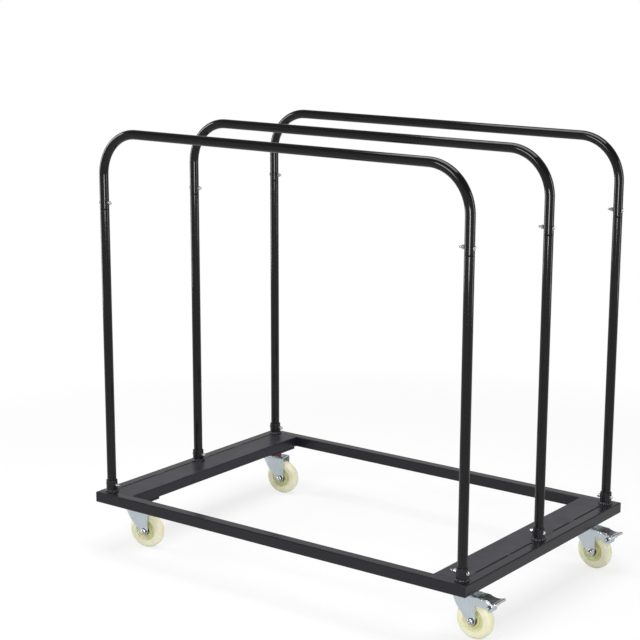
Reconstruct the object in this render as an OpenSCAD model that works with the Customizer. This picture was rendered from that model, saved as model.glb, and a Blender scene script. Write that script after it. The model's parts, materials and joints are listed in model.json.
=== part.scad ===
// Drywall cart: a welded tube base on four swivel casters, with three bolted
// hoops that hold boards upright between them.
// The origin is on the floor, midway between the left end of the base and the
// tips of the brake pedals, and midway between the side rails.
// X runs along the base towards the braked casters, Y runs across it to the
// back, and Z is up. In caster coordinates the wheel trails along X from the
// swivel axis at zero, and side outlines are drawn in that X and in Z.

/* [Base] */
// Length of the base over its end tubes
base_l = 1200; // [900:10:1600]
// Width of the base over its side rails
base_w = 790; // [640:10:1000]
// Side of the square tubes that frame the base
tube_s = 30; // [25:1:40]
// Wall of the base tubes
tube_wall = 2; // [1.5:0.25:2.5]
// Outer corner radius of the base tubes
tube_r = 3; // [2.75:0.25:4]
// Width of the flat deck tube beside each end tube
deck_w = 80; // [70:5:120]
// Height of the weld beads above the deck
bead_h = 0.8; // [0.4:0.1:1.5]

/* [Corner plates] */
// Length of the corner plates along the end tubes
pad_l = 155; // [150:5:200]
// How far the corner plates stand back from the base's outer faces
pad_in = 20; // [15:1:22]
// Thickness of the corner plates
pad_t = 5; // [4:0.5:8]
// Size of the corner plates' cut corners at the inner end
pad_cut = 39; // [30:1:42]

/* [Hoops] */
// Height of the hoops above the deck
hoop_h = 1000; // [700:10:1400]
// Diameter of the hoop and post tubes
hoop_d = 25; // [20:1:32]
// Wall of the hoop and post tubes
hoop_wall = 1.5; // [1.2:0.1:2]
// Bend radius on the hoops' centre line
bend_r = 115; // [80:5:180]
// Straight length of the hoop legs below the bends
hoop_leg_l = 89.5; // [85:0.5:200]
// Length of the reduced post end inside the hoop
spigot_l = 50; // [40:1:80]
// Height of the joint bolts above the joint
joint_bolt_up = 18; // [15:1:25]
// Distance from the end of the base to the post axes
post_inset_x = 30; // [28:1:60]
// Distance from the side of the base to the outer hoops
post_inset_y = 32.5; // [28:0.5:60]

/* [Sockets] */
// Height of the post sockets
socket_h = 32; // [28:1:60]
// Wall of the post sockets
socket_wall = 2.8; // [2:0.1:4]
// Width of the weld collar round a socket's foot
collar_w = 3.5; // [2:0.5:6]
// Height of the weld collar
collar_h = 7; // [4:0.5:9]
// Height of the socket bolts above the deck
socket_bolt_up = 19; // [16:0.5:24]

/* [Post bolts] */
// Diameter of the post bolts
bolt_d = 6; // [5:1:8]
// Length of the post bolts under the head
bolt_l = 45; // [42:1:60]
// Diameter of their domed heads
bolt_head_d = 13; // [11:1:15]
// Height of their domed heads
bolt_head_h = 4; // [3:0.2:5]
// Width across the flats of their nuts
nut_af = 10; // [10:1:13]
// Height of their nuts
nut_h = 5; // [4:0.5:6]

/* [Wheels] */
// Diameter of the wheels
wheel_d = 100; // [90:1:125]
// Width of the wheels
wheel_w = 27; // [24:1:30]
// Radius of the tread's rounded edges
tread_r = 7; // [4:0.5:9]
// Outer radius of the recessed ring in each face
recess_ro = 29; // [26:0.5:32]
// Inner radius of the recessed ring
recess_ri = 19; // [15:0.5:21]
// Depth of the recessed ring
recess_depth = 5; // [2:0.5:7]

/* [Caster forks] */
// Distance from the end of the base to the swivel axes
caster_inset_x = 62.5; // [58:0.5:66]
// Distance from the side of the base to the swivel axes
caster_inset_y = 89; // [80:1:95]
// Distance that the axle trails behind the swivel axis
trail = 38; // [32:1:42]
// Clear width between the fork legs
fork_gap = 36; // [34:1:40]
// Thickness of the fork plate
fork_t = 3; // [2.5:0.25:4]
// Outer radius of the folds between the crown and the legs
fold_r = 6; // [5:0.5:8]
// Radius of the rounded ends of the legs
leg_tip_r = 11; // [10.5:0.5:14]
// How far the legs reach to the other side of the swivel axis
leg_back = 23; // [18:0.5:23.5]
// Radius of the round crown under the ball race
crown_r = 29; // [27:0.5:32]
// Clear height between wheel and crown
crown_gap = 13; // [9:1:18]
// Height of the ball race between crown and top plate
race_h = 11; // [10:0.5:14]

/* [Caster plates, kingpins and axles] */
// Thickness of the caster top plates
top_plate_t = 3; // [2.5:0.25:4]
// Size of the top plates along the base
top_plate_x = 67; // [64:1:80]
// Size of the top plates across the base
top_plate_y = 95; // [92:1:110]
// Spacing of their bolts along the base
plate_bolt_x = 45; // [42:1:50]
// Spacing of their bolts across the base
plate_bolt_y = 75; // [70:1:78]
// Diameter of the plate bolts and of the axle bolts
screw_d = 8; // [6:1:9]
// Diameter of the kingpins
kingpin_d = 12; // [10:1:14]
// Outside diameter of the spacer tubes in the wheels
sleeve_d = 12; // [11.5:0.5:14]
// Outside diameter of the dust washers beside the wheels
washer_d = 22; // [20:1:26]

/* [Brakes] */
// Angle that a brake pedal turns through when it is pressed
pedal_travel = 25; // [15:1:28]
// Thickness of the pedal plate
pedal_t = 2.5; // [2:0.25:3]
// Distance from the pedal's pivot to the tip of its shoe
shoe_reach = 18; // [17:0.5:20]
// Width of the brake shoe
shoe_w = 24; // [16:1:28]
// Diameter of the pedal's pivot bolt
pivot_d = 6; // [5:0.5:7]

/* [Caster headings] */
// Turn of the front left caster at rest
turn_front_left = 13; // [-30:1:30]
// Turn of the back left caster at rest
turn_back_left = 9; // [-30:1:30]
// Turn of the front right caster at rest
turn_front_right = 0; // [-10:1:10]
// Turn of the back right caster at rest
turn_back_right = -5; // [-10:1:10]

/* [Hidden] */
$fn = 64;

// Clearances: running fits, bolts in their holes, flat heads on round tubes,
// and parts that must not rub
run_clear = 0.05;
hole_clear = 0.2;
seat_gap = 0.05;
free_gap = 0.3;
// How far a cutting tool runs past the faces that it cuts
cut_over = 1;

// Heights from the floor up
wheel_r = wheel_d / 2;
crown_z = wheel_d + crown_gap;
race_z = crown_z + fork_t;
top_plate_z = race_z + race_h;
pad_z = top_plate_z + top_plate_t;
frame_z = pad_z + pad_t;
deck_z = frame_z + tube_s;
hoop_z = deck_z + hoop_h - hoop_d / 2;
bend_z = hoop_z - bend_r;
joint_z = bend_z - hoop_leg_l;

// Places of the posts, casters and seams from the middle of the base
post_x = base_l / 2 - post_inset_x;
post_y = base_w / 2 - post_inset_y;
caster_x = base_l / 2 - caster_inset_x;
caster_y = base_w / 2 - caster_inset_y;
seam_x = base_l / 2 - tube_s;
end_w = tube_s + deck_w;

// Posts, sockets and hoops
tube_or = hoop_d / 2;
tube_ir = tube_or - hoop_wall;
spigot_r = tube_ir - run_clear;
socket_bore_r = tube_or + hole_clear;
socket_r = socket_bore_r + socket_wall;
bolt_hole_r = bolt_d / 2 + hole_clear;

// Weld beads fill the groove to two thirds and stop short of the sockets.
// Each stretch runs from one place across the base to another.
bead_depth = tube_r * 2 / 3;
bead_stop = socket_r + collar_w + 1;
SEAM_RIGHT = [
    [bead_stop - post_y, 60 - post_y], [-151, -140], [-34, -bead_stop],
    [bead_stop, 77], [160, 190], [post_y - 28, post_y - bead_stop]
];
SEAM_LEFT = [
    [bead_stop - post_y, 38 - post_y], [-182, -150],
    [bead_stop, 51], [162, 203], [post_y - 32, post_y - bead_stop]
];

// Caster fork
leg_v = fork_gap / 2 + fork_t;
fold_z = race_z - fold_r;
leg_front = trail + leg_tip_r;
axle_at = [trail, wheel_r];
crease = -3;
flap_turn = 25;
flap_l = (leg_back + crease) / cos(flap_turn);
flap_end_h = 8;
leg_top = [-leg_back, crown_z - flap_end_h];
leg_low = tangent_point(leg_top, axle_at, leg_tip_r, 1);
leg_line_end = leg_top + flap_end_h / (leg_top[1] - leg_low[1]) * (leg_top - leg_low);

// Ball race, and the ring that seals it
ball_r = 3;
ball_count = 14;
ball_pitch_r = crown_r - 10;
lower_race_h = 1.2;
lower_race_w = 10;
upper_race_z = race_z + lower_race_h + 2 * ball_r + 2 * free_gap;
upper_race_r = crown_r - 0.5;
seal_r = upper_race_r - 0.3;
seal_t = 3;

// Kingpins, plate bolts and axles
kingpin_head_af = 18;
kingpin_head_h = 6;
top_plate_r = 10;
screw_af = 1.6 * screw_d;
screw_head_h = 5.3;
nut_flange_r = 8.6;
nut_flange_h = 1.2;
axle_nut_h = 6.8;
nut_collar_r = 5.7;
nut_collar_h = 2.2;
axle_thread_out = 3;
washer_v = wheel_w / 2 + free_gap;

// Brake: the pivot is set so that the shoe's tip meets the tread when the
// pedal is down
pivot_z = race_z - 19.5;
pivot_to_axle = wheel_r + shoe_reach + free_gap;
pivot_at = [trail + sqrt(pow(pivot_to_axle, 2) - pow(pivot_z - wheel_r, 2)), pivot_z];
shoe_hub_r = pivot_d / 2 + 2.2;
shoe_arm_r = shoe_hub_r - 0.8;
shoe_lobe_r = 6;
shoe_turn = atan2(wheel_r - pivot_at[1], trail - pivot_at[0]) + pedal_travel;

// Pedal: centre line of the plate from its back edge over the fold to the lip
pedal_slope = 21;
pedal_up = shoe_hub_r + pedal_t / 2 + 0.1;
pedal_back = pivot_at + pedal_up * dir(90 - pedal_slope) + 31 * dir(180 - pedal_slope);
pedal_fold = pivot_at + pedal_up * dir(90 - pedal_slope) + dir(180 - pedal_slope);
pedal_tip = pedal_fold + [16, 7.5];
pedal_lip = pedal_tip + [2, -6];
pedal_half_w = fork_gap / 2 - 0.4;
pedal_tip_half_w = leg_v + 4;
pedal_flare = 5.5;
pedal_corner_r = 5;
pedal_line = concat(
    [pedal_back], bend_points(pedal_back, pedal_fold, pedal_tip, 6),
    bend_points(pedal_fold, pedal_tip, pedal_lip, 3), [pedal_lip]
);
cheek_t = 2;
cheek_r = 5;
flank_in = 0.05; // how far inside the round end its flanks stop
cheek_back = pedal_back + 15 * dir(-pedal_slope);
cheek_front = pedal_tip - [4, 2];

// Brake housing, stop pin and nut
housing_r = 6;
stop_r = 2.5;
stop_boss_r = 5;
stop_at = pedal_back + 4 * dir(-pedal_slope) - (pedal_t / 2 + free_gap + stop_r) * dir(90 - pedal_slope);
square_nut_w = 8.5;
square_nut_h = 4;
pivot_thread_out = 2;

// Corners: name, side along X, side along Y, turn at rest
CORNERS = [
    ["front_left", -1, -1, turn_front_left],
    ["back_left", -1, 1, turn_back_left],
    ["front_right", 1, -1, turn_front_right],
    ["back_right", 1, 1, turn_back_right]
];
BRAKED = [for (c = CORNERS) if (c[1] > 0) c];

// The origin lies midway between the left end and the tips of the turned pedals
pedal_end = pedal_lip[0] + pedal_t / 2 - pedal_corner_r;
pedal_reach = pedal_corner_r + max([for (c = BRAKED)
    pedal_end * cos(c[3]) + (pedal_tip_half_w - pedal_corner_r) * abs(sin(c[3]))]);
origin_x = (caster_x + pedal_reach - base_l / 2) / 2;

// Posts: name, side along X, place across the base
POSTS = [
    ["front_left_post", -1, -post_y],
    ["front_right_post", 1, -post_y],
    ["middle_left_post", -1, 0],
    ["middle_right_post", 1, 0],
    ["back_left_post", -1, post_y],
    ["back_right_post", 1, post_y]
];

// Post bolts: side along X, place across the base, height, radius they clamp
POST_BOLTS = [
    for (p = POSTS)
    for (b = [[deck_z + socket_bolt_up, socket_r], [joint_z + joint_bolt_up, tube_or]])
    [p[1], p[2], b[0], b[1]]
];

BASE_NODES = [
    "front_rail", "back_rail", "left_rail", "right_rail", "left_deck", "right_deck",
    "frame_welds", "corner_plates", "post_sockets", "front_hoop", "middle_hoop",
    "back_hoop", "post_bolts", "post_nuts", "caster_top_plates", "caster_plate_bolts",
    "kingpins", "swivel_balls", "swivel_seals"
];
CASTER_PARTS = ["fork", "wheel", "hub_sleeve", "dust_washers", "axle_bolt", "axle_nut"];
BRAKE_PARTS = ["brake_pedal", "brake_shoe", "pedal_bolt", "pedal_nut", "stop_pin"];

black = "#1d1d20";
deck_black = "#3a393f";
zinc = "#c3d0d8";
bright = "#d9dbdd";
chrome = "#b9bfc6";
ivory = "#e9e7c6";
seal_red = "#8c3428";

// Unit vector at an angle
function dir(a) = [cos(a), sin(a)];

// Point where a line from p touches the circle round c. Its side is 1 for the
// one that is counterclockwise of p, and -1 for the other.
function tangent_point(p, c, r, side) =
    c + r * dir(atan2(p[1] - c[1], p[0] - c[0]) + side * acos(r / norm(c - p)));

// Points of a bend that rounds the corner at b, starting at distance d from it
function bend_points(a, b, c, d) = let (
    p = b + d * (a - b) / norm(a - b), q = b + d * (c - b) / norm(c - b)
) [for (i = [0 : 8]) let (t = i / 8) (1 - t) * (1 - t) * p + 2 * t * (1 - t) * b + t * t * q];

// Moves a piece from the middle of the base to its place from the origin
module on_base() {
    translate([-origin_x, 0, 0]) children();
}

// Moves a piece to a corner's swivel axis, without the caster's turn
module at_swivel(c) {
    on_base() translate([c[1] * caster_x, c[2] * caster_y, 0]) children();
}

// Moves a piece to a corner's swivel axis, turned as the caster stands
module at_caster(c) {
    at_swivel(c) rotate([0, 0, c[3]]) children();
}

// Stands a piece made along Z at a point of the caster, pointing to the front
module across_caster(at) {
    translate([at[0], 0, at[1]]) rotate([90, 0, 0]) children();
}

// Stands a side outline upright, centred on its thickness
module upright(t) {
    rotate([90, 0, 0]) linear_extrude(t, center = true) children();
}

// Filled rectangle with round corners, centred
module round_rect(w, h, r) {
    square([w - 2 * r, h], center = true);
    square([w, h - 2 * r], center = true);
    for (i = [-1, 1], j = [-1, 1])
        translate([i * (w / 2 - r), j * (h / 2 - r)]) circle(r);
}

// Outline of a bent plate of even thickness along its centre line
module bent_plate(line, t) {
    n = len(line) - 1;
    across = [for (i = [0 : n]) let (d = line[min(i + 1, n)] - line[max(i - 1, 0)])
        t / 2 / norm(d) * [-d[1], d[0]]];
    polygon(concat(
        [for (i = [0 : n]) line[i] + across[i]], [for (i = [n : -1 : 0]) line[i] - across[i]]
    ));
}

// Outline of two circles and the straight flanks that touch both
module taper_link(c1, r1, c2, r2) {
    d = c2 - c1;
    a = atan2(d[1], d[0]);
    b = acos((r1 - r2) / norm(d));
    translate(c1) circle(r1);
    translate(c2) circle(r2);
    polygon([
        c1 + r1 * dir(a + b), c2 + r2 * dir(a + b),
        c2 + r2 * dir(a - b), c1 + r1 * dir(a - b)
    ]);
}

// Half section of a dome of radius r and height h
module dome_section(r, h) {
    sphere_r = (r * r + h * h) / (2 * h);
    intersection() {
        translate([0, h - sphere_r]) circle(sphere_r, $fn = 96);
        square([r, h]);
    }
}

// Six-sided head, standing on z = 0
module hex_head(af, h) {
    cylinder(h = h, r = af / 2 / cos(30), $fn = 6);
}

// Hexagon nut, standing on z = 0
module hex_nut(af, h, bore_r) {
    difference() {
        hex_head(af, h);
        translate([0, 0, -cut_over]) cylinder(h = h + 2 * cut_over, r = bore_r);
    }
}

// Hollow rectangular tube along X, centred
module box_tube(l, w) {
    rotate([90, 0, 90]) linear_extrude(l, center = true) difference() {
        round_rect(w, tube_s, tube_r);
        round_rect(w - 2 * tube_wall, tube_s - 2 * tube_wall, tube_r - tube_wall);
    }
}

// Square tube along X on the low side of the base, mitred at both ends
module mitred_tube(l, w) {
    intersection() {
        translate([0, (tube_s - w) / 2, frame_z + tube_s / 2]) box_tube(l, tube_s);
        translate([0, 0, frame_z]) linear_extrude(tube_s) polygon([
            [-l / 2, -w / 2], [l / 2, -w / 2],
            [l / 2 - tube_s, -w / 2 + tube_s], [-l / 2 + tube_s, -w / 2 + tube_s]
        ]);
    }
}

module side_rail(side) {
    color(black) on_base() rotate([0, 0, side < 0 ? 0 : 180]) mitred_tube(base_l, base_w);
}

module end_rail(side) {
    color(black) on_base() rotate([0, 0, side * 90]) mitred_tube(base_w, base_l);
}

// Wide flat tube beside an end tube, between the side rails
module deck_tube(side) {
    color(deck_black) on_base()
        translate([side * (seam_x - deck_w / 2), 0, frame_z + tube_s / 2])
        rotate([0, 0, 90]) box_tube(base_w - 2 * tube_s, deck_w);
}

// Section of a weld bead in the groove between two rounded tube edges
module bead_section() {
    crown = (pow(tube_r, 2) + pow(bead_h, 2)) / (2 * bead_h);
    difference() {
        union() {
            translate([-tube_r, -bead_depth]) square([2 * tube_r, bead_depth]);
            intersection() {
                translate([0, bead_h - crown]) circle(crown);
                translate([-tube_r, 0]) square([2 * tube_r, bead_h]);
            }
        }
        for (i = [-1, 1]) translate([i * tube_r, -tube_r]) circle(tube_r);
    }
}

// Flush fill where a deck tube's end meets the rounded edge of a side rail
module deck_end_fill(side, end) {
    translate([side * (seam_x - deck_w / 2), end * (base_w / 2 - tube_s), deck_z])
        rotate([90, 0, end * 90]) linear_extrude(deck_w - 2 * tube_r, center = true)
        difference() {
            translate([0, -bead_depth]) square(bead_depth);
            translate([tube_r, -tube_r]) circle(tube_r);
        }
}

module frame_welds() {
    color(black) on_base() for (side = [-1, 1]) {
        for (span = side < 0 ? SEAM_LEFT : SEAM_RIGHT)
            translate([side * seam_x, span[1], deck_z])
                rotate([90, 0, 0]) linear_extrude(span[1] - span[0]) bead_section();
        for (end = [-1, 1]) deck_end_fill(side, end);
    }
}

// Places children at the bolt holes of a caster's top plate
module at_plate_bolts() {
    for (i = [-1, 1], j = [-1, 1])
        translate([i * plate_bolt_x / 2, j * plate_bolt_y / 2, 0]) children();
}

// Plate with cut corners under a corner of the frame, tapped for the caster. Its
// corners at the outer end are cut half as far as those at the inner end.
module corner_plate(c) {
    low = [base_l / 2 - end_w, base_w / 2 - pad_in - pad_l];
    high = [base_l / 2 - pad_in, base_w / 2 - pad_in];
    small_cut = pad_cut / 2;
    difference() {
        on_base() mirror([c[1] < 0 ? 1 : 0, 0, 0]) mirror([0, c[2] < 0 ? 1 : 0, 0])
            translate([0, 0, pad_z]) linear_extrude(pad_t) polygon([
                [low[0], low[1] + pad_cut], [low[0] + pad_cut, low[1]],
                [high[0] - pad_cut, low[1]], [high[0], low[1] + pad_cut],
                [high[0], high[1] - small_cut], [high[0] - small_cut, high[1]],
                [low[0] + small_cut, high[1]], [low[0], high[1] - small_cut]
            ]);
        at_swivel(c) at_plate_bolts() translate([0, 0, pad_z - cut_over])
            cylinder(h = pad_t + 2 * cut_over, r = screw_d / 2 + run_clear);
    }
}

module corner_plates() {
    color(black) for (c = CORNERS) corner_plate(c);
}

// Bolt hole along X through a tube of the given radius
module bolt_hole(r) {
    rotate([0, 90, 0]) cylinder(h = 2 * (r + collar_w + cut_over), r = bolt_hole_r, center = true);
}

// Socket that a post stands in, with its weld collar
module socket() {
    difference() {
        rotate_extrude() difference() {
            union() {
                square([socket_r, socket_h]);
                polygon([
                    [0, 0], [socket_r + collar_w, 0], [socket_r + collar_w, collar_h / 4],
                    [socket_r, collar_h], [0, collar_h]
                ]);
            }
            translate([0, -cut_over]) square([socket_bore_r, socket_h + 2 * cut_over]);
        }
        translate([0, 0, socket_bolt_up]) bolt_hole(socket_r);
    }
}

module post_sockets() {
    color(black) on_base() for (p = POSTS)
        translate([p[1] * post_x, p[2], deck_z]) socket();
}

// Section of the hoop tube
module hoop_ring() {
    difference() {
        circle(tube_or);
        circle(tube_ir);
    }
}

// Hoop along the base: top tube, two bends and two short legs
module hoop(y) {
    color(black) on_base() translate([0, y, 0]) difference() {
        union() {
            translate([0, 0, hoop_z]) rotate([0, 90, 0])
                linear_extrude(2 * (post_x - bend_r), center = true) hoop_ring();
            for (side = [-1, 1]) {
                translate([side * post_x, 0, joint_z]) linear_extrude(hoop_leg_l) hoop_ring();
                translate([side * (post_x - bend_r), 0, bend_z])
                    rotate([90, 0, 0]) rotate([0, 0, side > 0 ? 0 : 90])
                    rotate_extrude(angle = 90) translate([bend_r, 0]) hoop_ring();
            }
        }
        for (side = [-1, 1])
            translate([side * post_x, 0, joint_z + joint_bolt_up]) bolt_hole(tube_or);
    }
}

// Post from the deck to the hoop, with a reduced end that plugs into the hoop
module post(p) {
    post_l = joint_z - deck_z;
    color(black) on_base() translate([p[1] * post_x, p[2], deck_z]) difference() {
        union() {
            cylinder(h = post_l, r = tube_or);
            cylinder(h = post_l + spigot_l, r = spigot_r);
        }
        translate([0, 0, -cut_over])
            cylinder(h = post_l + spigot_l + 2 * cut_over, r = spigot_r - hoop_wall);
        translate([0, 0, socket_bolt_up]) bolt_hole(tube_or);
        translate([0, 0, post_l + joint_bolt_up]) bolt_hole(tube_or);
    }
}

// Places children on the axis of a post bolt, with +Z towards its head
module at_post_bolt(b) {
    on_base() translate([b[0] * post_x, b[1], b[2]]) rotate([0, b[0] * 90, 0]) children();
}

module post_bolts() {
    color(bright) for (b = POST_BOLTS) at_post_bolt(b) translate([0, 0, b[3] + seat_gap]) {
        rotate_extrude() dome_section(bolt_head_d / 2, bolt_head_h);
        translate([0, 0, -bolt_l]) cylinder(h = bolt_l, d = bolt_d);
    }
}

module post_nuts() {
    color(bright) for (b = POST_BOLTS) at_post_bolt(b)
        translate([0, 0, -b[3] - seat_gap - nut_h]) hex_nut(nut_af, nut_h, bolt_d / 2 + run_clear);
}

// Top plate of a caster, with the upper ball race pressed down from it
module top_plate() {
    difference() {
        union() {
            translate([0, 0, top_plate_z]) linear_extrude(top_plate_t)
                round_rect(top_plate_x, top_plate_y, top_plate_r);
            translate([0, 0, upper_race_z])
                cylinder(h = top_plate_z - upper_race_z, r = upper_race_r);
        }
        translate([0, 0, upper_race_z - cut_over])
            cylinder(h = pad_z - upper_race_z + 2 * cut_over, d = kingpin_d);
        at_plate_bolts() translate([0, 0, top_plate_z - cut_over])
            cylinder(h = top_plate_t + 2 * cut_over, r = screw_d / 2 + hole_clear);
    }
}

module caster_top_plates() {
    color(zinc) for (c = CORNERS) at_swivel(c) top_plate();
}

module caster_plate_bolts() {
    color(bright) for (c = CORNERS) at_swivel(c) at_plate_bolts() {
        translate([0, 0, top_plate_z - screw_head_h]) hex_head(screw_af, screw_head_h);
        translate([0, 0, top_plate_z]) cylinder(h = top_plate_t + pad_t - 1, d = screw_d);
    }
}

// Pins that the forks turn on: riveted in the top plates, headed below the crowns
module kingpins() {
    head_z = crown_z - free_gap - kingpin_head_h;
    color(zinc) for (c = CORNERS) at_swivel(c) {
        translate([0, 0, head_z]) hex_head(kingpin_head_af, kingpin_head_h);
        translate([0, 0, head_z]) cylinder(h = pad_z - head_z, d = kingpin_d);
    }
}

module swivel_balls() {
    color(bright) for (c = CORNERS) at_swivel(c) for (i = [0 : ball_count - 1])
        rotate([0, 0, i * 360 / ball_count])
        translate([ball_pitch_r, 0, race_z + lower_race_h + free_gap + ball_r])
        sphere(ball_r, $fn = 24);
}

module swivel_seals() {
    color(seal_red) for (c = CORNERS) at_swivel(c) translate([0, 0, race_z + free_gap])
        rotate_extrude() translate([seal_r - seal_t, 0])
        square([seal_t, upper_race_z - race_z - free_gap]);
}

// Hole across both legs of a fork at a point of its side outline
module cross_hole(at, r) {
    across_caster(at) cylinder(h = 2 * (leg_v + cut_over), r = r, center = true);
}

// Half section of the crown: the round plate with its lower ball race
module crown_section() {
    translate([0, crown_z]) {
        square([crown_r - fork_t / 2, fork_t]);
        translate([crown_r - fork_t / 2, fork_t / 2]) circle(fork_t / 2, $fn = 32);
        translate([ball_pitch_r - lower_race_w / 2, fork_t]) square([lower_race_w, lower_race_h]);
    }
}

// Cross section of the folded top of a fork, down to the ends of the folds
module fold_section() {
    difference() {
        translate([0, race_z - 2 * fold_r]) round_rect(2 * leg_v, 4 * fold_r, fold_r);
        translate([0, crown_z - 2 * fold_r])
            round_rect(fork_gap, 4 * fold_r, fold_r - fork_t);
        translate([-leg_v - cut_over, fold_z - 4 * fold_r])
            square([2 * (leg_v + cut_over), 4 * fold_r]);
    }
}

// Side outline of a fork leg, below the folds and, behind them, up to the crown
module leg_outline() {
    polygon([
        leg_line_end, leg_low, axle_at, [leg_front, axle_at[1]], [leg_front, fold_z],
        [crease, fold_z], [crease, crown_z]
    ]);
    translate(axle_at) circle(leg_tip_r);
}

// Side outline of the brake housing that runs on from a leg
module housing_outline() {
    taper_link(stop_at, stop_boss_r, pivot_at, housing_r);
    polygon([
        [trail, fold_z - fork_t], [leg_front, fold_z - fork_t], [leg_front, crown_z],
        stop_at + [0, stop_boss_r], pivot_at, pivot_at + housing_r * dir(-120),
        [trail, crown_z - 20]
    ]);
}

// Plan of a leg: straight as far as the crease, then bent in to follow the crown
module leg_plan(l) {
    corner = [crease, fork_gap / 2];
    flap_end = corner + flap_l * dir(180 + flap_turn);
    polygon(concat(
        [flap_end, corner, [l, fork_gap / 2], [l, leg_v]],
        [for (i = [0 : 4]) corner + fork_t * dir(90 + i * flap_turn / 4)],
        [flap_end + fork_t * dir(90 + flap_turn)]
    ));
}

// Fork pressed from one plate: round crown, folded top and two tapered legs,
// with housing walls for the brake where the caster has one
module fork(c) {
    braked = c[1] > 0;
    color(zinc) at_caster(c) difference() {
        union() {
            rotate_extrude() crown_section();
            translate([crease, 0, 0]) rotate([90, 0, 90])
                linear_extrude(leg_front - crease) fold_section();
            for (j = [0, 1]) mirror([0, j, 0]) intersection() {
                linear_extrude(crown_z) leg_plan(braked ? pivot_at[0] + 2 * housing_r : leg_front);
                upright(2 * (leg_v + cut_over)) {
                    leg_outline();
                    if (braked) housing_outline();
                }
            }
        }
        translate([0, 0, crown_z - cut_over])
            cylinder(h = fork_t + lower_race_h + 2 * cut_over, r = kingpin_d / 2 + run_clear);
        cross_hole(axle_at, screw_d / 2 + hole_clear);
        if (braked) {
            cross_hole(pivot_at, pivot_d / 2 + run_clear);
            cross_hole(stop_at, stop_r + run_clear);
        }
    }
}

// Half section of a wheel: rounded tread edges, recessed faces and a plain bore
module wheel_section() {
    half_w = wheel_w / 2;
    difference() {
        union() {
            translate([0, -half_w]) square([wheel_r - tread_r, wheel_w]);
            translate([0, tread_r - half_w]) square([wheel_r, wheel_w - 2 * tread_r]);
            for (j = [-1, 1]) translate([wheel_r - tread_r, j * (half_w - tread_r)]) circle(tread_r);
        }
        translate([0, -wheel_w]) square([sleeve_d / 2 + run_clear, 2 * wheel_w]);
        for (j = [0, 1]) mirror([0, j]) polygon([
            [recess_ri, half_w + cut_over], [recess_ri, half_w],
            [recess_ri + 1, half_w - recess_depth], [recess_ro - 3, half_w - recess_depth],
            [recess_ro, half_w], [recess_ro, half_w + cut_over]
        ]);
    }
}

module wheel(c) {
    color(ivory) at_caster(c) across_caster(axle_at) rotate_extrude($fn = 96) wheel_section();
}

// Spacer tube that the wheel turns on, clamped between the legs
module hub_sleeve(c) {
    color(zinc) at_caster(c) across_caster(axle_at) difference() {
        cylinder(h = fork_gap, d = sleeve_d, center = true);
        cylinder(h = fork_gap + 2 * cut_over, r = screw_d / 2 + hole_clear, center = true);
    }
}

// Washers that keep dust out of the hub, one on each side of the wheel
module dust_washers(c) {
    color(black) at_caster(c) across_caster(axle_at) for (j = [0, 1]) mirror([0, 0, j])
        translate([0, 0, washer_v]) difference() {
            cylinder(h = fork_gap / 2 - washer_v, d = washer_d);
            translate([0, 0, -cut_over]) cylinder(h = fork_gap, r = sleeve_d / 2 + run_clear);
        }
}

// Axle bolt with its head at the back
module axle_bolt(c) {
    bolt_out = axle_nut_h + nut_collar_h + axle_thread_out;
    color(bright) at_caster(c) across_caster(axle_at) translate([0, 0, -leg_v]) {
        cylinder(h = 2 * leg_v + bolt_out, d = screw_d);
        translate([0, 0, -screw_head_h]) hex_head(screw_af, screw_head_h);
    }
}

// Lock nut on the axle bolt: flange, six flats and the round collar that grips
module axle_nut(c) {
    color(bright) at_caster(c) across_caster(axle_at) translate([0, 0, leg_v]) difference() {
        union() {
            cylinder(h = nut_flange_h, r = nut_flange_r);
            hex_head(screw_af, axle_nut_h);
            cylinder(h = axle_nut_h + nut_collar_h, r = nut_collar_r);
        }
        translate([0, 0, -cut_over])
            cylinder(h = axle_nut_h + nut_collar_h + 2 * cut_over, r = screw_d / 2 + run_clear);
    }
}

// Plan outline of the pedal: it fits between the housing walls, spreads in
// front of them and has round corners at the tip
module pedal_plan() {
    back = [pedal_back[0] - pedal_t, pedal_half_w];
    neck = [pivot_at[0] + housing_r + free_gap + 1, pedal_half_w];
    spread = [neck[0] + pedal_flare, pedal_tip_half_w];
    corner = [pedal_lip[0] + pedal_t / 2, pedal_tip_half_w];
    edge = concat(
        [back], bend_points(back, neck, spread, 3), bend_points(neck, spread, corner, 2),
        bend_points(spread, corner, [corner[0], 0], pedal_corner_r)
    );
    polygon(concat(edge, [for (i = [len(edge) - 1 : -1 : 0]) [edge[i][0], -edge[i][1]]]));
}

// Side outline of a pedal cheek, from the pivot up to the plate
module cheek_outline() {
    translate(pivot_at) circle(cheek_r);
    polygon([
        cheek_back, tangent_point(cheek_back, pivot_at, cheek_r - flank_in, 1), pivot_at,
        tangent_point(cheek_front, pivot_at, cheek_r - flank_in, -1), cheek_front, pedal_fold
    ]);
}

// Brake pedal: bent plate with a turned-down lip, and two cheeks on the pivot
module brake_pedal(c) {
    color(chrome) at_caster(c) difference() {
        union() {
            intersection() {
                upright(2 * (pedal_tip_half_w + cut_over)) bent_plate(pedal_line, pedal_t);
                translate([0, 0, pedal_lip[1] - wheel_r / 2]) linear_extrude(wheel_r) pedal_plan();
            }
            for (side = [-1, 1])
                translate([0, side * (pedal_half_w - cheek_t / 2), 0]) upright(cheek_t) cheek_outline();
        }
        cross_hole(pivot_at, pivot_d / 2 + run_clear);
    }
}

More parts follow.
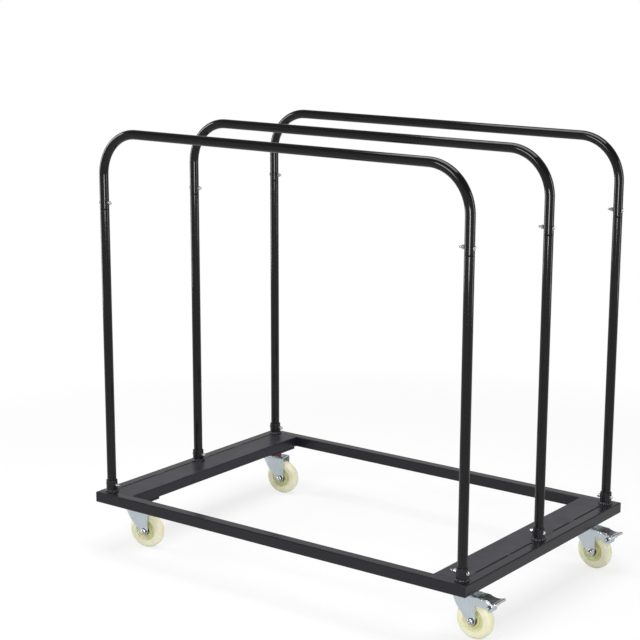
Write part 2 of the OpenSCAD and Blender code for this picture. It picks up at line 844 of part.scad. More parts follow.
// Brake shoe between the cheeks: a cam whose lobe presses on the tread
module brake_shoe(c) {
    lobe_at = pivot_at + (shoe_reach - shoe_lobe_r) * dir(shoe_turn);
    color(black) at_caster(c) difference() {
        union() {
            upright(shoe_w) taper_link(pivot_at, shoe_arm_r, lobe_at, shoe_lobe_r);
            across_caster(pivot_at)
                cylinder(h = 2 * (pedal_half_w - cheek_t), r = shoe_hub_r, center = true);
        }
        cross_hole(pivot_at, pivot_d / 2 + run_clear);
    }
}

// Bolt that the pedal turns on, with a domed head at the back
module pedal_bolt(c) {
    color(bright) at_caster(c) across_caster(pivot_at) translate([0, 0, -leg_v]) {
        cylinder(h = 2 * leg_v + square_nut_h + pivot_thread_out, d = pivot_d);
        rotate([180, 0, 0]) rotate_extrude() dome_section(pivot_d, pivot_d / 2);
    }
}

// Square nut on the pedal bolt, standing on its corner
module pedal_nut(c) {
    color(black) at_caster(c) across_caster(pivot_at) translate([0, 0, leg_v]) difference() {
        cylinder(h = square_nut_h, r = square_nut_w / sqrt(2), $fn = 4);
        translate([0, 0, -cut_over])
            cylinder(h = square_nut_h + 2 * cut_over, r = pivot_d / 2 + run_clear);
    }
}

// Riveted pin that the back of the pedal rests on
module stop_pin(c) {
    color(bright) at_caster(c) across_caster(stop_at) {
        cylinder(h = 2 * leg_v, r = stop_r, center = true);
        for (j = [0, 1]) mirror([0, 0, j]) translate([0, 0, leg_v])
            rotate_extrude() dome_section(1.6 * stop_r, stop_r / 2);
    }
}

side_rail(-1);  // front_rail
side_rail(1);  // back_rail
end_rail(-1);  // left_rail
end_rail(1);  // right_rail
deck_tube(-1);  // left_deck
deck_tube(1);  // right_deck
frame_welds();
corner_plates();
post_sockets();
hoop(-post_y);  // front_hoop
hoop(0);  // middle_hoop
hoop(post_y);  // back_hoop
post_bolts();
post_nuts();
caster_top_plates();
caster_plate_bolts();
kingpins();
swivel_balls();
swivel_seals();

for (p = POSTS)
    post(p);

for (c = CORNERS) {
    fork(c);
    wheel(c);
    hub_sleeve(c);
    dust_washers(c);
    axle_bolt(c);
    axle_nut(c);
}

for (c = BRAKED) {
    brake_pedal(c);
    brake_shoe(c);
    pedal_bolt(c);
    pedal_nut(c);
    stop_pin(c);
}
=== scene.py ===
"""Dresses the drywall cart: black painted tube frame, three hoops and four nylon casters."""

import json
import math

import bmesh
import bpy
import numpy as np
from bpy.props import FloatProperty, FloatVectorProperty, IntProperty, PointerProperty
from bpy.types import Operator, Panel, PropertyGroup
from mathutils import Matrix, Vector

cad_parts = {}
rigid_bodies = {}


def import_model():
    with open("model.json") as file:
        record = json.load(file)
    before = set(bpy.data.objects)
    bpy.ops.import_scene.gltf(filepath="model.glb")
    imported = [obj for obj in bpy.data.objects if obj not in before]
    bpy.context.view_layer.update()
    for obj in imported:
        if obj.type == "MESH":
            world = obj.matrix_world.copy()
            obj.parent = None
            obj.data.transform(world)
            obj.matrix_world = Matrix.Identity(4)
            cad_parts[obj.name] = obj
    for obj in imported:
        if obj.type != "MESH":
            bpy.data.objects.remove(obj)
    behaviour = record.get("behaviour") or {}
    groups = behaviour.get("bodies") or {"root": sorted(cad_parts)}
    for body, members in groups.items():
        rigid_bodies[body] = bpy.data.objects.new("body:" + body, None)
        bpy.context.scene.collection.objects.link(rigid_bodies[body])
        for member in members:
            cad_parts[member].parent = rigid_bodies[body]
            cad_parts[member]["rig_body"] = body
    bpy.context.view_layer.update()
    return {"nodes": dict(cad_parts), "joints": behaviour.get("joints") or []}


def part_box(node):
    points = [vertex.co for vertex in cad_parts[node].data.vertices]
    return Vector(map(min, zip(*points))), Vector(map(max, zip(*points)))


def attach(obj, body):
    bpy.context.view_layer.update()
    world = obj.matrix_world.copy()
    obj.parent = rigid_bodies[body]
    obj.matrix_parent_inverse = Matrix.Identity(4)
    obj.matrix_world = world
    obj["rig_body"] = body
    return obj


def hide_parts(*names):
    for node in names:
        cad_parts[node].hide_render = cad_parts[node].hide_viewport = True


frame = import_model()

bl_info = {
    "name": "Drywall cart dressing",
    "version": (1, 0, 0),
    "blender": (4, 5, 0),
    "location": "3D View > Sidebar > Cart",
    "description": "Builds the finished surfaces and materials of a drywall cart",
    "category": "Object",
}

# Lengths here are in millimetres, as on the cart's drawings, and become metres in the meshes.
MM = 0.001
CORNERS = ("front_left", "back_left", "front_right", "back_right")
BRAKED = ("front_right", "back_right")
AXLE = (38.0, 50.0)  # trail and height of a wheel's axle from the swivel axis and the floor
LEG = 21.0  # outer faces of a fork's legs, from the wheel's middle
SOCKET = 15.5  # outer radius of a post socket
SOCKET_BOLT = 19.0  # height of a socket's bolt above the deck
JOINT_BOLT = 18.0  # height of a joint's bolt above the foot of the hoop
POSTS = [n for n in frame["nodes"] if n.endswith("_post")]
JOINTS = {j["name"]: j for j in frame["joints"]}
MIDDLE_X = (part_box("left_rail")[0].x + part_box("right_rail")[1].x) / 2 / MM
DECK_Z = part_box("left_deck")[1].z / MM
SEAM_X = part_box("right_rail")[0].x / MM - MIDDLE_X


# ---------------------------------------------------------------- point grids


def softened(profile, radius, steps=4, closed=False):
    """Rounds a profile's corners. Each corner gives way to a parabola that leaves the two sides at the
    radius's distance from the corner, or at half the side where that is shorter."""
    p = np.asarray(profile, float)
    before, after = np.roll(p, 1, 0), np.roll(p, -1, 0)
    to_before, to_after = before - p, after - p
    lb = np.linalg.norm(to_before, axis=1)
    la = np.linalg.norm(to_after, axis=1)
    reach = np.minimum(np.broadcast_to(radius, len(p)), np.minimum(lb, la) * 0.49)
    if not closed:
        reach = reach.copy()
        reach[[0, -1]] = 0
    a = p + to_before / np.maximum(lb, 1e-9)[:, None] * reach[:, None]
    b = p + to_after / np.maximum(la, 1e-9)[:, None] * reach[:, None]
    t = np.linspace(0, 1, steps + 1)[None, :, None]
    curve = (1 - t) ** 2 * a[:, None] + 2 * t * (1 - t) * p[:, None] + t**2 * b[:, None]
    points = curve.reshape(-1, 2)
    gap = np.linalg.norm(points - np.roll(points, 1, 0), axis=1)
    keep = gap > 1e-6
    keep[0] = True
    return points[keep]


def revolved(profile, segments=64, swell=None):
    """A profile of radius and height turned round Z: x = r cos a, y = r sin a, z = h. swell(r, h, a)
    may give the radius another value at each point."""
    p = np.asarray(profile, float)
    a = np.linspace(0, 2 * np.pi, segments, endpoint=False)[None, :]
    r, h = p[:, :1] + 0 * a, p[:, 1:] + 0 * a
    if swell is not None:
        r = swell(r, h, a + 0 * r)
    return np.stack([r * np.cos(a), r * np.sin(a), h], 2)


def carried(path, section, side):
    """A section carried along a path. At each point of the path the section's first number goes along
    the fixed side direction, and its second along the path's normal, which is side x tangent."""
    path, section = np.asarray(path, float), np.asarray(section, float)
    tangent = np.gradient(path, axis=0)
    tangent /= np.linalg.norm(tangent, axis=1)[:, None]
    side = np.broadcast_to(np.asarray(side, float), path.shape)
    normal = np.cross(side, tangent)
    normal /= np.linalg.norm(normal, axis=1)[:, None]
    return path[:, None] + section[None, :, :1] * side[:, None] + section[None, :, 1:] * normal[:, None]


def hexagon(across, angle):
    """Distance from the middle to the edge of a hexagon at an angle: half the flats over the cosine of
    the angle from the nearest flat's middle."""
    off = (angle + np.pi / 6) % (np.pi / 3) - np.pi / 6
    return across / 2 / np.cos(off)


def hex_body(across, height, bore=0.0, segments=72, both=False):
    """A six-sided nut or head. Each point's radius is the smaller of the hexagon and a 30 degree cone
    that takes off the corners at the top, and at the bottom too if both ends are chamfered."""
    land = across / 2 * 0.97
    cut = (across / math.sqrt(3) - land) * math.tan(math.radians(30)) * 1.5
    steep = math.tan(math.radians(60))
    unbound = 9e3
    h = np.array([0, 0, cut / 2, cut, height / 2, height - cut, height - cut / 2, height, height])
    r = np.array([bore, land] + [unbound] * 5 + [land, bore])
    a = np.linspace(0, 2 * np.pi, segments, endpoint=False)[None, :]
    top = land + (height - h[:, None]) * steep
    low = land + h[:, None] * steep if both else unbound
    radius = np.minimum(np.minimum(r[:, None], hexagon(across, a)), np.minimum(top, low))
    foot = radius if both else hexagon(across, a)
    radius = np.where(h[:, None] <= 0, np.minimum(r[:, None], foot), radius)
    radius[0], radius[-1] = bore, bore
    z = h[:, None] + 0 * a
    return np.stack([radius * np.cos(a), radius * np.sin(a), z], 2)


def threaded(diameter, pitch, low, high, depth=0.0, segments=24):
    """A screw thread along Z. The radius falls from the crest by a triangular wave of the height over
    the pitch less the angle over a full turn, and the thread runs out at both ends."""
    depth = depth or 0.55 * pitch
    rows = max(int((high - low) / pitch * 6), 6) + 1
    z = np.linspace(low, high, rows)[:, None]
    a = np.linspace(0, 2 * np.pi, segments, endpoint=False)[None, :]
    wave = np.abs(((z / pitch - a / (2 * np.pi)) % 1) * 2 - 1)
    ends = np.clip(np.minimum(z - low, high - z) / pitch, 0, 1)
    radius = diameter / 2 - depth * (1 - (1 - wave) * ends)
    body = np.stack([radius * np.cos(a), radius * np.sin(a), z + 0 * a], 2)
    closing = body[[0, -1]] * [0, 0, 1]
    return np.concatenate([closing[:1], body, closing[1:]])


def turned(points, about, angle):
    """Points turned about one of the axes 0, 1 or 2 by an angle in degrees."""
    m = np.array(Matrix.Rotation(math.radians(angle), 3, "XYZ"[about]))
    return points @ m.T


# ---------------------------------------------------------------- places


def at_base(points):
    """Points measured from the middle of the base to metres in the cart's frame."""
    return (points + np.array([MIDDLE_X, 0, 0])) * MM


def middle_of(node):
    """The middle of a node's box, in millimetres."""
    low, high = (np.array(v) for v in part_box(node))
    return (low + high) / 2 / MM


def heading(corner):
    """A caster's own directions and its place on the floor. X trails from the swivel axis and Y is the
    axle's direction, both turned by the heading that the caster rests at."""
    axle = JOINTS[corner + "_roll"]["axis"]
    place = np.array(JOINTS[corner + "_swivel"]["pos_m"]) * [1, 1, 0]
    return np.array([[axle[1], axle[0], 0], [-axle[0], axle[1], 0], [0, 0, 1]]), place


def at_caster(points, corner):
    """Points in a caster's own directions to metres in the cart's frame."""
    m, place = heading(corner)
    return points @ m.T * MM + place


def from_caster(points, corner):
    """The way back from metres in the cart's frame to a caster's own directions."""
    m, place = heading(corner)
    return (points - place) @ m / MM


def across(points, at):
    """Points made along Z to a caster's crosswise direction, towards its front, from a place in
    trail and height."""
    return np.stack([points[..., 0] + at[0], -points[..., 2], points[..., 1] + at[1]], -1)


def quads_of(rows, cols, closed, start):
    """Corner numbers of the faces between the points of a grid whose columns join round."""
    i = np.arange(rows if closed else rows - 1)[:, None]
    j = np.arange(cols)[None, :]
    k, m = (i + 1) % rows, (j + 1) % cols
    quads = np.stack([i * cols + j, k * cols + j, k * cols + m, i * cols + m], -1)
    return quads.reshape(-1, 4) + start


def joined(mesh, gap, then=None):
    """Joins a mesh's points that lie within the gap in metres, takes one more step on it where one is
    given, and shades it smooth."""
    work = bmesh.new()
    work.from_mesh(mesh)
    bmesh.ops.remove_doubles(work, verts=work.verts, dist=gap)
    if then:
        then(work)
    work.to_mesh(mesh)
    work.free()
    mesh.shade_smooth()


def make_piece(name, grids, body, material, slot, replaced=(), sharp=35.0):
    """One closed mesh from grids of points in metres. A grid is an array of rows of points whose
    columns join round, or a pair of it and True where its rows join round as well."""
    points, quads, start = [], [], 0
    for grid in grids:
        grid, closed = grid if isinstance(grid, tuple) else (grid, False)
        rows, cols = grid.shape[:2]
        points.append(grid.reshape(-1, 3))
        quads.append(quads_of(rows, cols, closed, start))
        start += rows * cols
    mesh = bpy.data.meshes.new(name)
    mesh.from_pydata(np.concatenate(points), [], np.concatenate(quads))
    joined(mesh, 1e-6, lambda work: bmesh.ops.recalc_face_normals(work, faces=work.faces))
    mesh.set_sharp_from_angle(angle=math.radians(sharp))
    return added(name, mesh, body, material, replaced)


def added(name, mesh, body, material, replaced):
    """Puts a finished mesh in the scene on its body, in place of the nodes that it stands for."""
    piece = bpy.data.objects.new(name, mesh)
    bpy.context.scene.collection.objects.link(piece)
    mesh.materials.clear()
    mesh.materials.append(material)
    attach(piece, body)
    if replaced:
        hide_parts(*replaced)
    return piece


def bevelled(node, name, material, width):
    """A node's own solid with its sharp edges rounded: its loose triangles are joined, flat neighbours
    are merged, and a bevel of the given width follows each edge that turns by more than 32 degrees."""
    angle = math.radians(32)
    source = frame["nodes"][node]
    mesh = source.data.copy()
    mesh.name = name
    joined(mesh, 2e-6, lambda work: bmesh.ops.dissolve_limit(
        work, angle_limit=math.radians(1), verts=work.verts, edges=work.edges,
    ))
    mesh.set_sharp_from_angle(angle=angle)
    piece = added(name, mesh, source["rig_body"], material, (node,))
    bevel = piece.modifiers.new("Rounded edges", "BEVEL")
    bevel.width, bevel.segments = width * MM, 2
    bevel.limit_method, bevel.angle_limit = "ANGLE", angle
    bevel.harden_normals = True
    return piece


def painted(node, material):
    """Gives a node that is shown as it is its finish."""
    slots = frame["nodes"][node].data.materials
    slots.clear()
    slots.append(material)


# ---------------------------------------------------------------- materials


def put(tree, kind, inputs=None, **settings):
    """A new node. Inputs are values, or sockets that are linked."""
    node = tree.nodes.new(kind)
    for key, value in settings.items():
        setattr(node, key, value)
    for key, value in (inputs or {}).items():
        if isinstance(value, bpy.types.NodeSocket):
            tree.links.new(value, node.inputs[key])
        else:
            node.inputs[key].default_value = value
    return node


def new_group(name, inputs, outputs):
    """An empty node group with float inputs and the named outputs, and its two end nodes."""
    tree = bpy.data.node_groups.new(name, "ShaderNodeTree")
    for key, default in inputs.items():
        socket = tree.interface.new_socket(key, in_out="INPUT", socket_type="NodeSocketFloat")
        socket.default_value = default
    for key in outputs:
        tree.interface.new_socket(key, in_out="OUTPUT", socket_type="NodeSocketFloat")
    return tree, tree.nodes.new("NodeGroupInput").outputs, tree.nodes.new("NodeGroupOutput").inputs


def maths(tree, operation, a, b=0.0, c=0.0, clamp=False):
    inputs = {0: a, 1: b, 2: c}
    return put(tree, "ShaderNodeMath", inputs, operation=operation, use_clamp=clamp).outputs[0]


def noise(tree, place, scale, detail=2.0, roughness=0.5):
    inputs = {"Vector": place, "Scale": scale, "Detail": detail, "Roughness": roughness}
    return put(tree, "ShaderNodeTexNoise", inputs).outputs["Fac"]


def spread(tree, value, low, high, to_low=0.0, to_high=1.0):
    inputs = {"Value": value, "From Min": low, "From Max": high, "To Min": to_low, "To Max": to_high}
    return put(tree, "ShaderNodeMapRange", inputs).outputs["Result"]


def orange_peel():
    """Height of sprayed paint: fine ripples over broad, shallow waves."""
    tree, given, out = new_group("Orange peel", {"Scale": 300.0, "Waves": 0.4}, ["Height"])
    place = put(tree, "ShaderNodeTexCoord").outputs["Object"]
    fine = noise(tree, place, given["Scale"], 2)
    broad = noise(tree, place, maths(tree, "MULTIPLY", given["Scale"], 0.08), 1)
    mixed = maths(tree, "MULTIPLY_ADD", broad, given["Waves"], fine)
    tree.links.new(mixed, out["Height"])
    return tree


def dust_and_sheen_mask():
    """Mask of dust and painted sheen on what faces up: the normal's height, broken by two sizes of
    noise.
    """
    tree, given, out = new_group("Dust and sheen", {"Amount": 0.5, "Scale": 18.0}, ["Mask"])
    place = put(tree, "ShaderNodeTexCoord").outputs["Object"]
    normal = put(tree, "ShaderNodeNewGeometry").outputs["Normal"]
    up = put(tree, "ShaderNodeSeparateXYZ", {0: normal}).outputs["Z"]
    flat = spread(tree, up, 0.35, 1.0)
    cloud = spread(tree, noise(tree, place, given["Scale"], 4, 0.6), 0.35, 0.7)
    specks = spread(tree, noise(tree, place, 900, 1), 0.62, 0.75)
    mixed = maths(tree, "MAXIMUM", maths(tree, "MULTIPLY", cloud, 0.6), specks)
    mask = maths(tree, "MULTIPLY", maths(tree, "MULTIPLY", flat, mixed), given["Amount"], clamp=True)
    tree.links.new(mask, out["Mask"])
    return tree


def handling_marks():
    """Mask of fine rub marks: noise drawn out along two directions, where a patch mask lets it."""
    tree, given, out = new_group("Handling marks", {"Scale": 40.0, "Amount": 0.5}, ["Mask"])
    place = put(tree, "ShaderNodeTexCoord").outputs["Object"]
    lines = []
    for turn, pull in (((0, 0, 0.5), (1, 22, 22)), ((0.3, 0, 2.0), (1.5, 30, 30))):
        inputs = {"Vector": place, "Rotation": turn, "Scale": pull}
        drawn = put(tree, "ShaderNodeMapping", inputs).outputs["Vector"]
        lines.append(spread(tree, noise(tree, drawn, given["Scale"], 3, 0.65), 0.62, 0.72))
    patch = spread(tree, noise(tree, place, 9, 2), 0.45, 0.65)
    both = maths(tree, "MAXIMUM", *lines)
    mask = maths(tree, "MULTIPLY", maths(tree, "MULTIPLY", both, patch), given["Amount"], clamp=True)
    tree.links.new(mask, out["Mask"])
    return tree


def plating_flow():
    """Cloudy tone and fine grain of plated sheet steel, drawn out along the height."""
    tree, given, out = new_group("Plating flow", {"Scale": 60.0}, ["Tone", "Grain"])
    place = put(tree, "ShaderNodeTexCoord").outputs["Object"]
    stretch = {"Vector": place, "Scale": (3.0, 3.0, 0.7)}
    drawn = put(tree, "ShaderNodeMapping", stretch).outputs["Vector"]
    tone = spread(tree, noise(tree, drawn, given["Scale"], 4, 0.55), 0.3, 0.7)
    small = maths(tree, "MULTIPLY", given["Scale"], 12)
    cells = put(tree, "ShaderNodeTexVoronoi", {"Vector": place, "Scale": small})
    grain = spread(tree, cells.outputs["Distance"], 0.0, 0.6)
    tree.links.new(tone, out["Tone"])
    tree.links.new(grain, out["Grain"])
    return tree


def seam_shadow():
    """Mask of painted shade in the groove where a deck tube lies against its end rail: a band along Y
    that is one distance from the middle of the base."""
    tree, given, out = new_group("Seam shadow", {"Middle": 0.0, "Seam": 0.57, "Width": 0.002}, ["Mask"])
    place = put(tree, "ShaderNodeTexCoord").outputs["Object"]
    x = put(tree, "ShaderNodeSeparateXYZ", {0: place}).outputs["X"]
    side = maths(tree, "ABSOLUTE", maths(tree, "SUBTRACT", x, given["Middle"]))
    off = maths(tree, "ABSOLUTE", maths(tree, "SUBTRACT", side, given["Seam"]))
    share = maths(tree, "DIVIDE", off, given["Width"])
    tree.links.new(spread(tree, share, 0.7, 1.1, 1.0, 0.0), out["Mask"])
    return tree


def grouped(tree, name, make, **values):
    """A placed node group, built the first time that it is asked for."""
    group = bpy.data.node_groups.get(name) or make()
    return put(tree, "ShaderNodeGroup", values, node_tree=group)


def blank(name, **values):
    """A new material with its shader's own sockets set."""
    made = bpy.data.materials.new(name)
    made.use_nodes = True
    shader = made.node_tree.nodes["Principled BSDF"]
    for key, value in values.items():
        shader.inputs[key.replace("_", " ")].default_value = value
    return made, made.node_tree, shader.inputs


def two_tone(tree, mask, first, second):
    """A mix of two colours by a mask. Either may be a socket."""
    a, b = (c if isinstance(c, bpy.types.NodeSocket) else (*c, 1) for c in (first, second))
    inputs = {"Factor": mask, "A": a, "B": b}
    return put(tree, "ShaderNodeMix", inputs, data_type="RGBA").outputs["Result"]


def link_all(tree, shader, **sockets):
    for key, socket in sockets.items():
        tree.links.new(socket, shader[key.replace("_", " ")])


def bumped(tree, height, strength, distance, below=None):
    inputs = {"Height": height, "Strength": strength, "Distance": distance}
    if below is not None:
        inputs["Normal"] = below
    return put(tree, "ShaderNodeBump", inputs).outputs["Normal"]


def paint_finish(name, colour, dust_and_sheen, gloss, peel=260.0, ripple=0.12, marks=0.35, seam=0.0):
    """Sprayed black enamel: orange peel, rub marks that dull it, and a little dust and painted sheen on
    what faces up.
    With a seam's width in metres, the groove beside the end rails is painted dark and dull as shade."""
    made, tree, shader = blank(name, Roughness=gloss, IOR=1.4)
    dust = grouped(tree, "Dust and sheen", dust_and_sheen_mask, Amount=dust_and_sheen).outputs["Mask"]
    rub = grouped(tree, "Handling marks", handling_marks, Amount=marks).outputs["Mask"]
    peeled = grouped(tree, "Orange peel", orange_peel, Scale=peel).outputs["Height"]
    # The pale purplish grey where the mask is high is partly dust and partly painted sheen.
    base = two_tone(tree, dust, colour, (0.15, 0.145, 0.165))
    dull = maths(tree, "MAXIMUM", dust, rub)
    rough = spread(tree, dull, 0, 1, gloss, gloss + 0.3)
    # Painted shade: the groove's band is coloured nearly black and made dull.
    if seam:
        places = {"Middle": MIDDLE_X * MM, "Seam": SEAM_X * MM, "Width": seam}
        groove = grouped(tree, "Seam shadow", seam_shadow, **places).outputs["Mask"]
        base = two_tone(tree, groove, base, (0.002, 0.002, 0.003))
        rough = maths(tree, "MAXIMUM", rough, maths(tree, "MULTIPLY", groove, 0.9))
    normal = bumped(tree, peeled, ripple, 0.0006)
    link_all(tree, shader, Base_Color=base, Roughness=rough, Normal=normal)
    return made


def plated_finish(name, colour, shade, rough, scale=60.0, grain=0.05):
    """Bright plated steel: a cloudy tone between two colours, with a fine grain in the shine."""
    made, tree, shader = blank(name, Metallic=1.0, Roughness=rough)
    flow = grouped(tree, "Plating flow", plating_flow, Scale=scale)
    rub = grouped(tree, "Handling marks", handling_marks, Amount=0.4).outputs["Mask"]
    base = two_tone(tree, flow.outputs["Tone"], shade, colour)
    cloudy = spread(tree, flow.outputs["Tone"], 0, 1, rough * 0.75, rough * 1.3)
    dull = maths(tree, "MULTIPLY_ADD", rub, 0.2, cloudy)
    link_all(
        tree, shader, Base_Color=base, Roughness=dull,
        Normal=bumped(tree, flow.outputs["Grain"], grain, 0.0004),
    )
    return made


def nylon_finish(name, colour, painted_shade):
    """Moulded nylon: soft, faintly see-through, with flow marks, and with painted shade in the wheels'
    hubs, recesses and on the shoulders of their treads.
    """
    made, tree, shader = blank(
        name, Roughness=0.38, IOR=1.53, Subsurface_Weight=0.25, Subsurface_Scale=0.006,
    )
    place = put(tree, "ShaderNodeTexCoord").outputs["Object"]
    cloud = spread(tree, noise(tree, place, 35, 3, 0.5), 0.3, 0.7)
    specks = spread(tree, noise(tree, place, 1400, 1), 0.66, 0.74)
    # Painted shade: the attribute darkens the hub, recess and tread shoulders, and the tone adds it to
    # the real flow marks.
    deeper = put(tree, "ShaderNodeAttribute", attribute_name="Painted nylon shade").outputs["Fac"]
    flow = maths(tree, "MULTIPLY_ADD", specks, 0.3, maths(tree, "MULTIPLY", cloud, 0.3))
    tone = maths(tree, "MULTIPLY_ADD", deeper, 0.7, flow, clamp=True)
    dull = spread(tree, noise(tree, place, 90, 3), 0.3, 0.7, 0.3, 0.46)
    link_all(
        tree, shader, Base_Color=two_tone(tree, tone, colour, painted_shade), Roughness=dull,
        Normal=bumped(tree, noise(tree, place, 700, 2), 0.08, 0.0004),
    )
    return made


def moulded_finish(name, colour, pale, rough, metallic=0.0):
    """Black oxide, plastic or rubber: a matt skin with a fine tooth and a chalky bloom in patches."""
    made, tree, shader = blank(name, Roughness=rough, Metallic=metallic)
    place = put(tree, "ShaderNodeTexCoord").outputs["Object"]
    bloom = spread(tree, noise(tree, place, 120, 4, 0.6), 0.45, 0.8)
    link_all(
        tree, shader, Base_Color=two_tone(tree, bloom, colour, pale),
        Roughness=spread(tree, bloom, 0, 1, rough * 0.8, min(rough * 1.25, 1)),
        Normal=bumped(tree, noise(tree, place, 1500, 2), 0.15, 0.0003),
    )
    return made


def finish(name):
    """The material of that name, made the first time that it is asked for."""
    made = bpy.data.materials.get(name)
    if made:
        return made
    scene = bpy.context.scene
    paint, metal, wheel = scene.cart_paint, scene.cart_metal, scene.cart_wheels
    dust, gloss = paint.dust, paint.gloss
    black, zinc, chrome = tuple(paint.colour), tuple(metal.zinc), tuple(metal.chrome)
    # The coat on the round tubes is the deepest, darkened as painted shade; that on the decks and welds
    # is purplish as a painted reflection, and the decks' larger dust share is partly painted sheen.
    painted_shade = tuple(c * 0.55 for c in black)
    tinted = (black[0], black[1], black[2] * 1.2)
    painted_reflection_tint = (black[0], black[1] * 0.95, black[2] * 1.4)
    zinc_shade = tuple(c * 0.89 for c in zinc)
    chrome_shade = tuple(c * 0.93 for c in chrome)
    makers = {
        "Black enamel": (paint_finish, tinted, dust * 0.2, gloss),
        "Black enamel tube": (paint_finish, painted_shade, dust * 0.15, gloss - 0.12, 140, 0.008, 0.05),
        "Black enamel deck": (paint_finish, painted_reflection_tint, dust * 1.5, gloss + 0.1, 220, 0.12, 0.6, 0.003),
        "Black enamel rail": (paint_finish, tinted, dust * 0.2, gloss, 260, 0.12, 0.35, 0.003),
        "Enamelled weld": (paint_finish, painted_reflection_tint, dust, gloss + 0.1, 500),
        "Zinc plate": (plated_finish, zinc, zinc_shade, 0.34),
        "Bright zinc": (plated_finish, (0.86, 0.87, 0.88), (0.68, 0.7, 0.72), 0.2, 200),
        "Passivated zinc": (plated_finish, (0.66, 0.67, 0.66), (0.36, 0.37, 0.37), 0.24, 260, 0.12),
        "Chrome plate": (plated_finish, chrome, chrome_shade, 0.2, 40, 0.02),
        "Bearing steel": (plated_finish, (0.72, 0.72, 0.74), (0.6, 0.6, 0.63), 0.1, 90, 0.02),
        "Black oxide": (moulded_finish, (0.02, 0.02, 0.022), (0.05, 0.05, 0.055), 0.35, 0.6),
        "Black plastic": (moulded_finish, (0.018, 0.018, 0.018), (0.05, 0.05, 0.05), 0.5),
        "Red seal rubber": (moulded_finish, (0.26, 0.045, 0.03), (0.34, 0.09, 0.07), 0.6),
        "Ivory nylon": (nylon_finish, tuple(wheel.colour), tuple(wheel.painted_shade_colour)),
    }
    make, *values = makers[name]
    return make(name, *values)


# ---------------------------------------------------------------- settings


LENGTH = {"subtype": "DISTANCE", "unit": "LENGTH"}
COLOUR = {"subtype": "COLOR", "size": 3, "min": 0, "max": 1}


class PaintSettings(PropertyGroup):
    colour: FloatVectorProperty(
        name="Paint colour", description="Colour of the enamel on the frame and hoops",
        **COLOUR, default=(0.0105, 0.0100, 0.0115),
    )
    gloss: FloatProperty(
        name="Roughness", description="Roughness of the enamel where nothing has rubbed it",
        subtype="FACTOR", min=0.02, max=1, default=0.22,
    )
    # Amount of the mask that is partly dust and partly painted sheen on the faces that look up.
    dust: FloatProperty(
        name="Dust", description="Dust on the deck and other faces that look up",
        subtype="FACTOR", min=0, max=1, default=0.22,
    )


class TubeSettings(PropertyGroup):
    hoop_diameter: FloatProperty(
        name="Tube diameter", description="Outside diameter of the hoop and post tubes",
        **LENGTH, default=0.025,
    )
    hoop_wall: FloatProperty(
        name="Tube wall", description="Wall thickness of the hoop and post tubes",
        **LENGTH, default=0.0015,
    )
    bend_radius: FloatProperty(
        name="Bend radius", description="Radius of the hoops' bends on the tube's middle line",
        **LENGTH, default=0.115,
    )
    round_steps: IntProperty(
        name="Steps round", description="Points round each tube", min=24, max=128, default=56,
    )

    def radii(self):
        """Outer and inner radius of the hoop and post tubes, in millimetres."""
        return self.hoop_diameter / 2 / MM, (self.hoop_diameter / 2 - self.hoop_wall) / MM


class MetalSettings(PropertyGroup):
    zinc: FloatVectorProperty(
        name="Zinc colour", description="Colour of the plated forks and plates",
        **COLOUR, default=(0.72, 0.80, 0.85),
    )
    chrome: FloatVectorProperty(
        name="Chrome colour", description="Colour of the brake pedals' plating",
        **COLOUR, default=(0.78, 0.80, 0.83),
    )
    edge: FloatProperty(
        name="Edge radius", description="Rounding of the pressed steel's edges",
        **LENGTH, min=0.0001, max=0.0015, default=0.0006,
    )
    pitch: FloatProperty(
        name="Thread pitch", description="Pitch of the threads on the post bolts",
        **LENGTH, min=0.0005, max=0.002, default=0.001,
    )


class WheelSettings(PropertyGroup):
    colour: FloatVectorProperty(
        name="Nylon colour", description="Colour of the nylon on the wheels' faces",
        **COLOUR, default=(0.84, 0.82, 0.63),
    )
    # This colour is painted shade in the wheels' hubs, recesses and on the shoulders of their treads.
    painted_shade_colour: FloatVectorProperty(
        name="Deep nylon colour", description="Colour of the nylon where it is thick or marked",
        **COLOUR, default=(0.50, 0.50, 0.20),
    )
    diameter: FloatProperty(
        name="Wheel diameter", description="Diameter of the wheels over the tread",
        **LENGTH, default=0.1,
    )
    width: FloatProperty(
        name="Wheel width", description="Width of the wheels",
        **LENGTH, default=0.027,
    )


class StageSettings(PropertyGroup):
    lens: FloatProperty(
        name="Lens", description="Focal length on a 36 mm wide sensor, in millimetres",
        min=10, max=300, default=96.545,
    )
    lamp: FloatProperty(
        name="Lamps", description="Power of the soft lamps as a share of the usual",
        min=0, max=4, default=1.0,
    )
    sky: FloatProperty(
        name="Surround", description="Strength of the even light from all round",
        min=0, max=2, default=0.5,
    )


# ---------------------------------------------------------------- pieces


class CartOperator:
    bl_options = {"REGISTER", "UNDO"}


class CART_OT_base_frame(CartOperator, Operator):
    """Finishes the side rails, end rails and flat deck tubes in black enamel"""

    bl_idname = "cart.base_frame"
    bl_label = "Base frame"

    def execute(self, context):
        for first, second, name in (
            ("front_rail", "back_rail", "Black enamel"),
            ("left_rail", "right_rail", "Black enamel rail"),
            ("left_deck", "right_deck", "Black enamel deck"),
        ):
            painted(first, finish(name))
            painted(second, finish(name))
        bevelled("corner_plates", "Corner_plates", finish("Black enamel"), 0.7)
        return {"FINISHED"}


